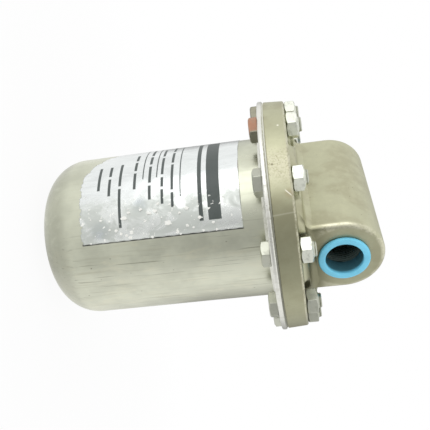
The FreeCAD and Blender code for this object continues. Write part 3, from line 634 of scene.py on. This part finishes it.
@made_once
def foil(look, f):
    """Thin bright foil with plain printed rules and bars, scuffed dull towards its lower edge."""
    x, y, z = f.axes()
    turn = f.turn(x, y)
    creases = f.noise(0.14, 4.0, 0.6, 0.8, (1, 1, 0.4))
    scuffs = f.noise(0.20, 5.0, 0.7, 0.5, (1, 1, 0.7))
    patches = f.noise(0.085, 4.0, 0.62, 0.6, (1, 1, 0.8))
    low = (turn + scuffs * 26.0 - 13.0).fade(-66.0, -50.0)
    crumbs = f.noise(0.40, 3.0, 0.60).fade(0.645, 0.68) * low
    dull = low * patches.fade(0.58, 0.44)
    # Two blue-grey spots on the lower part of the foil.
    blue_grey_spots = f.spot(-39.5, -140.5, CAN_R / MM, 5.0, 0.5) | f.spot(-53.9, -115.2, CAN_R / MM, 4.0, 0.6)
    rows = []
    for at, wide, *stops in MARKS:
        dashes = [turn.band(last, first, 0.3) for first, last in zip(stops[::2], stops[1::2])]
        rows.append(z.band(at - wide / 2, at + wide / 2, 0.15) * functools.reduce(operator.or_, dashes))
    printed = functools.reduce(operator.or_, rows) * (1.0 - crumbs)
    tone = f.coats(
        f.mix(creases.fade(0.35, 0.7), look.foil, shade(look.foil, 0.90)),
        (low * 0.35, (0.66, 0.68, 0.62)),
        (blue_grey_spots * 0.6, (0.42, 0.47, 0.50)),
        (dull * 0.65, (0.48, 0.51, 0.47)),
        (crumbs * 0.9, look.glue),
        (printed * 0.96, look.ink),
    )
    metal = (1.0 - printed) * (1.0 - dull * 0.35) * (1.0 - crumbs * 0.9)
    rough = 0.19 + dull * 0.22 + crumbs * 0.3 + printed * 0.2 + creases * 0.08
    height = creases * 0.5 + scuffs * low + crumbs * 0.4
    return f.coated(tone, rough, metal, height, 0.2, 0.4)


@made_once
def dried_glue(look, f):
    """Chalky crumbs."""
    grain = f.noise(1.8, 3.0, 0.6)
    tone = f.mix(grain, shade(look.glue, 0.82), look.glue)
    return f.coated(tone, 0.6 + grain * 0.2, 0.0, grain, 0.08, 0.5)


# Plain rules and bars on the foil: height and width along the canister in mm, then the angles in degrees
# from which to which each dash of that row runs
MARKS = (
    (-71.2, 7.6, -38.6, -114.0),
    (-79.2, 2.4, -38.6, -114.0),
    (-90.7, 0.7, -56.7, -128.0),
    (-95.7, 1.6, -50.0, -60.4, -62.4, -84.8, -86.8, -101.0, -103.4, -118.0),
    (-101.8, 1.6, -53.0, -63.6, -65.6, -73.4, -76.0, -94.6, -97.0, -112.0),
    (-105.1, 0.7, -73.8, -126.0),
    (-109.4, 1.7, -57.0, -67.6, -70.0, -85.4, -87.8, -98.4, -100.6, -116.0),
    (-113.6, 0.7, -73.5, -124.0),
    (-118.7, 1.7, -66.0, -80.0, -82.4, -92.4, -94.6, -104.0),
    (-127.9, 1.7, -40.0, -67.8, -70.0, -92.0),
    (-134.4, 1.7, -63.0, -77.2, -79.6, -90.0),
    (-141.1, 1.7, -68.0, -90.0),
)


# Pieces

class TRAP_OT_canister(bpy.types.Operator):
    """Turns the canister's sheet, with its domed end, about the trap's axis."""

    bl_idname = "trap.canister"
    bl_label = "Canister"

    def execute(self, context):
        shape = context.scene.trap_shape
        wall = shape.can_wall
        knuckle_u = CAN_R - shape.knuckle_r
        depth = shape.knuckle_r + shape.crown_rise
        crown_r = (depth ** 2 - shape.knuckle_r ** 2 + knuckle_u ** 2) / (2 * shape.crown_rise)
        crown = (0.0, CAN_LOW.z + crown_r)
        knuckle = (knuckle_u, CAN_LOW.z + depth)
        meet = math.degrees(math.atan2(knuckle[1] - crown[1], knuckle[0] - crown[0]))
        outer = arc(crown, crown_r, -90.0, meet, 14)
        outer += arc(knuckle, shape.knuckle_r, meet, 0.0, 26)[1:]
        rise = Z_LIP_TOP - knuckle[1]
        outer += [(CAN_R, knuckle[1] + rise * k / 40) for k in range(1, 41)]
        inner = [(CAN_R - wall, Z_LIP_TOP), (CAN_R - wall, knuckle[1])]
        inner += arc(knuckle, shape.knuckle_r - wall, 0.0, meet, 18)[1:]
        inner += arc(crown, crown_r - wall, meet, -90.0, 10)[1:]
        profile = [(0.0, CAN_LOW.z)] + outer[1:] + inner[:-1] + [(0.0, CAN_LOW.z + wall)]
        can = revolved("canister_sheet", profile, upright, 240, False)
        for vert in can.data.vertices:
            vert.co += dent(vert.co)
        dress(can, "trap", drawn_steel(context.scene.trap_finish), "drawn_steel", "canister")
        return {"FINISHED"}


def dent(spot):
    """A slight unevenness of the drawn wall, the same on its inside and outside."""
    turn = math.atan2(spot.y, spot.x - AXIS_X)
    height = (spot.z - CAN_LOW.z) / (Z_LIP_TOP - CAN_LOW.z)
    fade = math.sin(math.pi * min(max(height, 0.0), 1.0)) ** 0.5
    wave = math.sin(3 * turn + 5 * height) + 0.6 * math.sin(5 * turn - 9 * height + 1.0)
    wave += 0.35 * math.sin(8 * turn + 16 * height)
    depth = 0.05 * MM * fade * wave
    return Vector((math.cos(turn), math.sin(turn), 0.0)) * depth


class TRAP_OT_lip(bpy.types.Operator):
    """Finishes the lip ring and the gasket on it."""

    bl_idname = "trap.lip"
    bl_label = "Lip Ring and Gasket"

    def execute(self, context):
        refinish("lip_ring", lip_steel(context.scene.trap_finish))
        refinish("flange_gasket", graphite_sheet(context.scene.trap_finish))
        return {"FINISHED"}


class TRAP_OT_cap(bpy.types.Operator):
    """Finishes the cap casting and adds its fillets and the ports' thread ridges."""

    bl_idname = "trap.cap"
    bl_label = "Cap"

    def execute(self, context):
        shape = context.scene.trap_shape
        material = cast_steel(context.scene.trap_finish)
        refinish("cap", material)
        cap_fillets(shape, material)
        for side, name in ((-1, "inlet_thread"), (1, "outlet_thread")):
            dress(pipe_thread(name, shape, side, material), "trap", material, "cast_steel")
        return {"FINISHED"}


def arch_foot(turn, margin=0.0):
    """How far the arch's foot and a margin reach at an angle, with the corners rounded."""
    blunt = 14.0
    reach_x = (ARCH_HALF_L + margin) / max(abs(math.cos(turn)), 1e-6)
    reach_y = (ARCH_R + margin) / max(abs(math.sin(turn)), 1e-6)
    return (reach_x ** -blunt + reach_y ** -blunt) ** (-1 / blunt)


def cap_fillets(shape, material):
    """The casting's soft run from the deck over the pad's edge and up the arch's foot."""
    steps = 360
    shares = [k / 9 for k in range(10)]
    tuck, sink, proud = 0.6 * MM, 0.3 * MM, 0.06 * MM

    def past_nut(turn, first, last):
        """0 at a nut and 1 away from it, smooth between two angles in degrees."""
        pitch = 2 * math.pi / shape.bolt_count
        off = math.degrees(abs(turn % pitch - pitch / 2))
        clear = min(max((off - first) / (last - first), 0.0), 1.0)
        return clear * clear * (3 - 2 * clear)

    def pad_edge(turn):
        """How far the pad reaches: further at the arch's corners."""
        return shape.pad_r + max(0.0, arch_foot(turn, 5.5 * MM) - shape.pad_r) * past_nut(turn, 5.0, 8.0)

    def skirt(turn):
        """How far the skirt reaches on the deck: less at a nut, more between two."""
        return 1.15 * MM + 5.4 * MM * past_nut(turn, 7.0, 13.0)

    def height(turn, radius):
        """The height of the run at a place."""
        foot = arch_foot(turn)
        fall = min(max((radius - pad_edge(turn)) / skirt(turn), 0.0), 1.0)
        rise = min(max((foot + shape.foot_fillet - radius) / shape.foot_fillet, 0.0), 1.0)
        up = shape.foot_fillet * (1 - math.sqrt(1 - rise * rise))
        return Z_DECK + (shape.pad_h + proud + up) * (1 - fall * fall) ** 2

    def inner(share):
        def layer(turn):
            foot = arch_foot(turn)
            radius = foot - tuck + (min(shape.foot_fillet, pad_edge(turn) - foot) + tuck) * share
            return radius, height(turn, radius)
        return layer

    def outer(share):
        def layer(turn):
            start = min(arch_foot(turn) + shape.foot_fillet, pad_edge(turn))
            radius = start + (pad_edge(turn) + skirt(turn) - start) * share
            return radius, height(turn, radius) - 0.1 * MM * share ** 6
        return layer

    layers = [inner(share) for share in shares] + [outer(share) for share in shares[1:]]
    layers.append(lambda turn: (pad_edge(turn) + skirt(turn), Z_DECK - sink))
    layers.append(lambda turn: (arch_foot(turn) - tuck, Z_DECK - sink))
    turns = [2 * math.pi * k / steps for k in range(steps)]
    return dress(surface("cap_fillets", layers, upright, turns, True), "trap", material, "cast_steel")


def spiral_tree():
    """Geometry Nodes that lay a ridge along a helix."""
    n = GeometryTree("helical_ridge", Turns="Float", Radius="Float", Length="Float", Ridge="Float",
                     Material="Material")
    given = n.given
    helix = {"Resolution": 72, "Rotations": given["Turns"], "Start Radius": given["Radius"],
             "End Radius": given["Radius"], "Height": given["Length"]}
    spiral = n.node("GeometryNodeCurveSpiral", helix)
    section = n.node("GeometryNodeCurvePrimitiveCircle", {"Resolution": 4, "Radius": given["Ridge"]})
    sweep = {"Curve": spiral, "Profile Curve": section, "Fill Caps": True}
    return n.end(n.node("GeometryNodeCurveToMesh", sweep))


def run_tree(thing, tree, values):
    """Runs a tree on a piece with its inputs set by name, and keeps the plain mesh."""
    modifier = thing.modifiers.new(tree.name, "NODES")
    modifier.node_group = tree
    for item in tree.interface.items_tree:
        if item.item_type == "SOCKET" and item.in_out == "INPUT" and item.name in values:
            modifier[item.identifier] = values[item.name]
    return baked(thing)


def pipe_thread(name, shape, side, material):
    """A ridge along the wall of the port on one side."""
    tree = bpy.data.node_groups.get("helical_ridge") or spiral_tree()
    thing = placed(name, bpy.data.meshes.new(name))
    ridge = shape.port_depth
    span = THREAD_L - 2 * ridge
    run_tree(thing, tree, {
        "Turns": span / shape.port_pitch,
        "Radius": THREAD_R,
        "Length": span,
        "Ridge": ridge * 0.8,
        "Material": material,
    })
    start = 2 * AXIS_X - ridge if side > 0 else ridge
    for vert in thing.data.vertices:
        x, y, z = vert.co
        vert.co = (start - side * z, x, -side * y)
    thing.data.shade_flat()
    return thing


# How round a hexagon's corners are, how steep its chamfers, and the angles at which it has points
HEX_ROUND = 0.5 * MM
HEX_SLOPE = math.tan(math.radians(30))
HEX_STEPS = (0.0, 1.1, 2.3, 8.0, 15.0, 22.0, 30.0, 38.0, 45.0, 52.0, 57.7, 58.9)
HEX_TURNS = [math.radians(60 * k + step) for k in range(6) for step in HEX_STEPS]


def hexagon_radius(turn, across_flats):
    """How far a hexagon with slightly rounded corners reaches at an angle from one of its corners."""
    sixth = math.pi / 3
    off = abs((turn + sixth / 2) % sixth - sixth / 2)
    corner = across_flats / math.sqrt(3)
    middle = corner - HEX_ROUND / math.cos(sixth / 2)
    tangent = math.atan2(HEX_ROUND / 2, middle + HEX_ROUND * math.cos(sixth / 2))
    if off < tangent:
        return middle * math.cos(off) + math.sqrt(HEX_ROUND ** 2 - (middle * math.sin(off)) ** 2)
    return across_flats / 2 / math.cos(sixth / 2 - off)


def about_z(radius, turn, height):
    """A point on a ring about the origin."""
    return Vector((radius * math.cos(turn), radius * math.sin(turn), height))


def hexed(shape, height, slope=0.0):
    """A hexagonal layer that rises or falls by a slope beyond the chamfer's radius."""
    def layer(turn):
        reach = hexagon_radius(turn, shape.across_flats)
        return reach, height + max(0.0, reach - shape.chamfer_r) * slope
    return layer


def nut_mesh(shape):
    """A chamfered nut with its bore, standing on z = 0."""
    high = NUT_HIGH.z - NUT_LOW.z
    flat_r = shape.chamfer_r
    bore = shape.bolt_r
    layers = [
        (bore + 0.5 * MM, 0.0), (flat_r - 0.25 * MM, 0.0), (flat_r, 0.08 * MM),
        hexed(shape, 0.15 * MM, HEX_SLOPE), hexed(shape, high - 0.15 * MM, -HEX_SLOPE),
        (flat_r, high - 0.08 * MM), (flat_r - 0.25 * MM, high),
        (bore + 0.55 * MM, high), (bore - 0.1 * MM, high - 0.6 * MM), (bore - 0.1 * MM, 0.6 * MM),
    ]
    return surface("nut_form", layers, about_z, HEX_TURNS, True)


def bolt_mesh(shape):
    """A bolt with its head below z = 0 and its threaded end above."""
    low = -shape.head_t
    shank_l = BOLT_HIGH.z - BOLT_LOW.z + low
    flat_r = shape.chamfer_r
    pitch = shape.bolt_pitch
    crest = shape.bolt_r
    root = crest - 0.6 * MM
    layers = [
        (0.0, low + 0.15 * MM), (0.42 * shape.across_flats, low + 0.15 * MM),
        (0.44 * shape.across_flats, low), (flat_r - 0.2 * MM, low),
        (flat_r, low + 0.06 * MM), hexed(shape, low + 0.1 * MM, HEX_SLOPE),
        hexed(shape, -0.25 * MM), (flat_r, -0.2 * MM), (flat_r - 0.1 * MM, 0.0), (crest, 0.0),
    ]
    height = shank_l - 5.2 * pitch
    layers.append((crest, height))
    while height < shank_l - 1.6 * pitch:
        layers += [(root, height + 0.45 * pitch), (root, height + 0.55 * pitch)]
        layers += [(crest, height + 0.93 * pitch), (crest, height + pitch)]
        height += pitch
    layers += [(root, height + 0.5 * pitch), (crest - 0.35 * MM, shank_l - 0.75 * MM)]
    layers += [(root - 0.35 * MM, shank_l), (0.0, shank_l)]
    return surface("bolt_form", layers, about_z, HEX_TURNS, False)


def hexagon_turn(node, place, across_flats):
    """The angle of a hexagon's corner in the frame, so that a piece that replaces it is turned the same way."""
    reach = across_flats / math.sqrt(3) + 0.2 * MM
    offs = [(v.co.x - place.x, v.co.y - place.y) for v in frame["nodes"][node].data.vertices]
    return max((math.hypot(x, y), math.atan2(y, x)) for x, y in offs if math.hypot(x, y) < reach)[1]


def flange_tree():
    """Geometry Nodes that set one fastener on each point, turned as the point says."""
    n = GeometryTree("fasteners_round_flange", Geometry="Geometry", Fastener="Object", Size="Float",
                     Material="Material")
    given = n.given
    form = n.node("GeometryNodeObjectInfo", {"Object": given["Fastener"]}, "Geometry")
    turn = n.node("GeometryNodeInputNamedAttribute", {"Name": "turn"}, "Attribute", data_type="FLOAT_VECTOR")
    spin = n.node("FunctionNodeEulerToRotation", {"Euler": turn})
    stand = {"Points": given["Geometry"], "Instance": form, "Rotation": spin, "Scale": given["Size"]}
    return n.end(n.node("GeometryNodeInstanceOnPoints", stand))


def round_flange(name, form, node, height, shape, material):
    """One fastener at each bolt place, as one plain mesh."""
    points = bpy.data.meshes.new(name)
    step = 2 * math.pi / shape.bolt_count
    places = [upright(shape.bolt_circle_r, step * (k + 0.5), height) for k in range(shape.bolt_count)]
    points.from_pydata(places, [], [])
    turns = points.attributes.new("turn", "FLOAT_VECTOR", "POINT")
    for k, place in enumerate(places):
        turns.data[k].vector = (0.0, 0.0, hexagon_turn(node, place, shape.across_flats))
    thing = placed(name, points)
    tree = bpy.data.node_groups.get("fasteners_round_flange") or flange_tree()
    run_tree(thing, tree, {"Fastener": form, "Size": 1.0, "Material": material})
    bpy.data.objects.remove(form)
    return dress(thing, "trap", material, "plated_fasteners", node)


class TRAP_OT_fasteners(bpy.types.Operator):
    """Sets the bolts and nuts round the flange with Geometry Nodes."""

    bl_idname = "trap.fasteners"
    bl_label = "Bolts and Nuts"

    def execute(self, context):
        shape = context.scene.trap_shape
        material = plated_fasteners(context.scene.trap_finish)
        under = BOLT_LOW.z + shape.head_t
        round_flange("bolts", bolt_mesh(shape), "flange_bolts", under, shape, material)
        round_flange("nuts", nut_mesh(shape), "flange_nuts", Z_DECK, shape, material)
        return {"FINISHED"}


# The foil's sides in degrees. Its corner is torn off from TEAR_START on, by a curve in mm over degrees.
LABEL_FIRST = -151.0
LABEL_LAST = -31.3
TEAR_START = -75.0
TEAR_RATE = 0.0514
TEAR_POWER = 1.6
TEAR_MOST = 38.0
# How far the foil's face stands off the wall, and over how many degrees its lower edge has lifted
FOIL_OFF = 0.22 * MM
LIFT_SPAN = 3.5


class TRAP_OT_label(bpy.types.Operator):
    """Wraps the torn foil round the canister and scatters dried glue on it."""

    bl_idname = "trap.label"
    bl_label = "Foil Label"

    def execute(self, context):
        shape = context.scene.trap_shape
        look = context.scene.trap_finish
        across, along = 170, 150
        dice = random.Random(7)
        jags = [dice.uniform(-0.5, 0.5) for _ in range(across + 1)]
        mesh = bmesh.new()
        rows = []
        for i in range(across + 1):
            part = i / across
            turn = LABEL_FIRST + (LABEL_LAST - LABEL_FIRST) * part
            torn = TEAR_RATE * max(0.0, TEAR_START - turn) ** TEAR_POWER
            ragged = 0.5 + 0.6 * math.sin(turn * 0.55) + 0.4 * math.sin(turn * 1.7) + jags[i]
            low = LABEL_LOW.z + (min(torn, TEAR_MOST) + max(0.0, ragged)) * MM
            lift = shape.label_lift * max(0.0, 1 - (LABEL_LAST - turn) / LIFT_SPAN) ** 2
            row = []
            for j in range(along + 1):
                height = low + (LABEL_HIGH.z - low) * j / along
                ripple = 0.04 * MM * math.sin(turn * 0.21 + height * 260) * math.sin(height * 410 + turn * 0.07)
                radius = CAN_R + FOIL_OFF + lift + ripple
                edge = 0.12 * MM * math.sin(height * 900) * (part > 0.995)
                row.append(mesh.verts.new(upright(radius, math.radians(turn) + edge / CAN_R, height)))
            rows.append(row)
        for low_row, high_row in zip(rows, rows[1:]):
            for j in range(along):
                mesh.faces.new((low_row[j], high_row[j], high_row[j + 1], low_row[j + 1]))
        sheet = from_bmesh("label_foil", mesh)
        sheet.modifiers.new("thickness", "SOLIDIFY").thickness = shape.label_t
        sheet.modifiers["thickness"].offset = -1.0
        baked(sheet)
        dress(sheet, "trap", foil(look), "foil", "foil_label")
        dress(glue_flakes(), "trap", dried_glue(look), "foil")
        return {"FINISHED"}


# Larger flakes of glue, as (angle in degrees, height in mm, size in mm)
FLAKES = (
    (-39.7, -99.2, 2.9), (-46.0, -125.5, 2.3), (-49.6, -122.4, 1.5), (-48.6, -106.3, 1.7), (-47.7, -110.0, 1.6),
    (-48.1, -87.2, 1.7), (-45.6, -91.8, 1.2), (-36.2, -121.4, 1.7), (-33.0, -122.4, 1.5), (-34.6, -124.8, 1.2),
    (-31.8, -109.4, 1.2), (-33.0, -94.2, 1.5), (-31.8, -92.4, 0.9), (-32.2, -78.8, 1.1), (-32.0, -71.0, 1.2),
    (-31.8, -146.9, 1.0), (-41.0, -80.4, 1.6), (-38.4, -130.6, 1.4), (-36.0, -127.8, 1.2), (-46.2, -139.5, 1.1),
    (-36.8, -88.0, 1.3), (-37.0, -72.5, 1.2), (-52.0, -97.3, 1.0), (-53.4, -104.6, 1.2), (-50.8, -115.0, 1.3),
    (-42.6, -112.6, 1.0), (-35.0, -84.4, 1.1), (-39.4, -134.6, 1.0),
)
SMALL_FLAKES = 22
FLAKE_CORNERS = 11


def glue_flakes():
    """Thin crumbs of dried glue on the lower part of the foil and along its edge."""
    dice = random.Random(11)
    spots = list(FLAKES)
    for _ in range(SMALL_FLAKES):
        spots.append((dice.uniform(-54.0, -31.6), dice.uniform(-152.0, -64.0), dice.uniform(0.25, 0.7)))
    mesh = bmesh.new()
    for turn, height, size in spots:
        middle = math.radians(turn)
        rims = []
        reach = [size * dice.uniform(0.55, 1.0) for _ in range(FLAKE_CORNERS)]
        top = CAN_R + 0.42 * MM + 0.10 * MM * min(size, 2.0)
        tilt = dice.uniform(0.1, 0.45) * min(size, 2.0) * MM
        for radius, share in ((CAN_R + 0.05 * MM, 1.0), (top - 0.06 * MM, 0.9), (top, 0.6)):
            rim = []
            for k in range(FLAKE_CORNERS):
                way = 2 * math.pi * k / FLAKE_CORNERS
                across = reach[k] * share * math.cos(way) * MM * 0.8
                lift = tilt * (1.0 + math.cos(way)) / 2 if radius > CAN_R + 0.1 * MM else 0.0
                rim.append(mesh.verts.new(upright(radius + lift, middle + across / CAN_R,
                                                  height * MM + reach[k] * share * math.sin(way) * MM)))
            rims.append(rim)
        for low_rim, high_rim in zip(rims, rims[1:]):
            join_rings(mesh, low_rim, high_rim)
        mesh.faces.new(rims[-1])
        mesh.faces.new(list(reversed(rims[0])))
    bmesh.ops.recalc_face_normals(mesh, faces=mesh.faces)
    return from_bmesh("glue_flakes", mesh, 50)


class TRAP_OT_protectors(bpy.types.Operator):
    """Moulds the thread protectors in both ports."""

    bl_idname = "trap.protectors"
    bl_label = "Thread Protectors"

    def execute(self, context):
        material = blue_plastic(context.scene.trap_finish)
        for side, node in ((-1, "inlet_protector"), (1, "outlet_protector")):
            low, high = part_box(node)
            outer = high.x if side > 0 else low.x
            flange_r = (high.z - low.z) / 2
            length_x = high.x - low.x
            profile = rounded([
                (11.0 * MM, length_x, 0.7 * MM), (flange_r, length_x, 0.8 * MM),
                (flange_r, length_x - 1.9 * MM, 0.15 * MM), (13.55 * MM, length_x - 1.9 * MM, 0.3 * MM),
                (13.2 * MM, 0.0, 0.35 * MM), (11.2 * MM, 0.0, 0.35 * MM),
            ], 5)
            start = outer - side * length_x

            def along_port(radius, turn, height):
                return Vector((start + side * height, radius * math.cos(turn), radius * math.sin(turn)))

            sleeve = revolved(node + "_sleeve", profile, along_port, 128, True)
            dress(sleeve, node, material, "blue_plastic", node)
        return {"FINISHED"}


class TRAP_OT_works(bpy.types.Operator):
    """Finishes the works inside the canister."""

    bl_idname = "trap.works"
    bl_label = "Inner Works"

    def execute(self, context):
        look = context.scene.trap_finish
        for part in frame["record"]["subparts"]:
            if part["material_slot"] == "bright_steel" and part["node"] != "lip_ring":
                refinish(part["node"], bright_steel(look))
        refinish("bucket", drawn_steel(look))
        return {"FINISHED"}


# Stage

# The lamp stands this many degrees up in the picture from the camera, this far away and this large
LAMP_TURN = 48.0
LAMP_AWAY = 0.95
LAMP_SIZE = (0.85, 1.5)
FLOOR_R = 0.45
# The tent's darker places: the setting, degrees up in the picture, the setting's share, and the edge's cosine
TENT_DARK = (("front", -26.0, 0.52, 0.45), ("front", -26.0, 0.48, 0.8), ("back", -170.0, 1.0, 0.5))


def lamp(name, place, aim, size, watts):
    data = bpy.data.lights.new(name, "AREA")
    data.shape = "RECTANGLE"
    data.size, data.size_y = size
    data.energy = watts
    thing = placed(name, data)
    thing.location = place
    thing.rotation_mode = "QUATERNION"
    thing.rotation_quaternion = (aim - place).to_track_quat("-Z", "Y")
    thing.visible_camera = False
    return thing


class TRAP_OT_stage(bpy.types.Operator):
    """Sets the floor, the white studio, the lamp and the camera."""

    bl_idname = "trap.stage"
    bl_label = "Stage"

    def execute(self, context):
        scene = context.scene
        stage = scene.trap_stage
        scene.view_settings.view_transform = "Standard"
        self.set_camera(scene, stage)
        self.set_world(scene, stage)
        self.set_floor(stage)
        middle = Vector((AXIS_X, 0.0, (CAN_LOW.z + CAP_HIGH.z) / 2))
        lamp("softbox", middle + self.way(stage, LAMP_TURN) * LAMP_AWAY, middle, LAMP_SIZE, stage.softbox)
        return {"FINISHED"}

    def way(self, stage, turn):
        """The level direction from the trap towards the camera, turned up in the picture by some degrees."""
        back = -Vector(stage.ahead).normalized()
        level = math.atan2(back.y, back.x) - math.radians(turn)
        return Vector((math.cos(level), math.sin(level), -back.z)).normalized()

    def set_camera(self, scene, stage):
        data = bpy.data.cameras.new("camera")
        data.sensor_width = 36.0
        data.lens = stage.lens
        data.clip_start = 0.01
        camera = placed("camera", data)
        camera.location = stage.eye
        camera.rotation_mode = "QUATERNION"
        turn = Vector(stage.ahead).to_track_quat("-Z", "Y")
        camera.rotation_quaternion = turn @ Quaternion((0.0, 0.0, 1.0), stage.roll)
        scene.camera = camera

    def tent(self, stage, tree, look, contrast):
        """How bright the white tent is in a direction: darker round the camera and behind the trap."""
        seen = 1.0
        for setting, turn, share, edge in TENT_DARK:
            towards = tuple(self.way(stage, turn))
            dot = tree.node("ShaderNodeVectorMath", {0: look, 1: towards}, "Value", operation="DOT_PRODUCT")
            seen = seen - dot.fade(edge, 1.0) * (getattr(stage, setting) * share * contrast)
        return seen | tree.node("ShaderNodeLightPath", {}, "Is Camera Ray")

    def set_world(self, scene, stage):
        """The camera sees plain white, and the trap is lit by the tent."""
        world = bpy.data.worlds.new("studio")
        scene.world = world
        world.use_nodes = True
        n = Nodes(world.node_tree)
        look = n.node("ShaderNodeTexCoord", {}, "Generated")
        back = n.tree.nodes["Background"]
        n.fill(back.inputs["Color"], (1.0, 1.0, 1.0, 1.0))
        n.fill(back.inputs["Strength"], self.tent(stage, n, look, 1.0))

    def set_floor(self, stage):
        """A pale disc that keeps the trap's shadow. In metal it is as bright as the tent on that side."""
        mesh = bmesh.new()
        bmesh.ops.create_circle(mesh, cap_ends=True, segments=96, radius=FLOOR_R)
        floor = from_bmesh("floor", mesh)
        floor.location = (AXIS_X, 0.0, CAD_BOX[0].z - 0.5 * MM)
        f = Finish("pale_floor")
        f.material.cycles.emission_sampling = "NONE"
        floor.data.materials.append(f.feed(Base_Color=(0.92, 0.92, 0.92, 1.0), Roughness=0.9, Specular_IOR_Level=0.0))
        look = f.node("ShaderNodeVectorMath", {0: f.place()}, operation="NORMALIZE")
        white = f.node("ShaderNodeEmission", {"Strength": self.tent(stage, f, look, 0.4)})
        matt = Signal(f, f.shader.outputs[0])
        away = f.node("ShaderNodeVectorMath", {0: f.place()}, "Value", operation="LENGTH")
        share = 0.92 + away.fade(200.0, 430.0) * 0.08
        blend = f.node("ShaderNodeMixShader", {0: f.mirrored() * share, 1: matt, 2: white})
        f.fill(f.tree.nodes["Material Output"].inputs["Surface"], blend)


class TRAP_PT_panel(bpy.types.Panel):
    """Lists the pieces of the steam trap."""

    bl_idname = "TRAP_PT_panel"
    bl_label = "Steam Trap"
    bl_space_type = "VIEW_3D"
    bl_region_type = "UI"
    bl_category = "Steam Trap"

    def draw(self, context):
        for group in ("trap_shape", "trap_finish", "trap_stage"):
            settings = getattr(context.scene, group)
            box = self.layout.box()
            for name in settings.__annotations__:
                box.prop(settings, name)
        for kind in OPERATORS:
            self.layout.operator(kind.bl_idname)


GROUPS = {"trap_shape": TrapShape, "trap_finish": TrapFinish, "trap_stage": TrapStage}
OPERATORS = (
    TRAP_OT_canister, TRAP_OT_lip, TRAP_OT_cap, TRAP_OT_fasteners,
    TRAP_OT_label, TRAP_OT_protectors, TRAP_OT_works, TRAP_OT_stage,
)


def register():
    for kind in (*GROUPS.values(), *OPERATORS, TRAP_PT_panel):
        bpy.utils.register_class(kind)
    for name, kind in GROUPS.items():
        setattr(bpy.types.Scene, name, PointerProperty(type=kind))


def unregister():
    for name in GROUPS:
        delattr(bpy.types.Scene, name)
    for kind in reversed((*GROUPS.values(), *OPERATORS, TRAP_PT_panel)):
        bpy.utils.unregister_class(kind)


def main():
    register()
    bpy.ops.trap.canister()
    bpy.ops.trap.lip()
    bpy.ops.trap.cap()
    bpy.ops.trap.fasteners()
    bpy.ops.trap.label()
    bpy.ops.trap.protectors()
    bpy.ops.trap.works()
    bpy.ops.trap.stage()


if __name__ == "__main__":
    main()
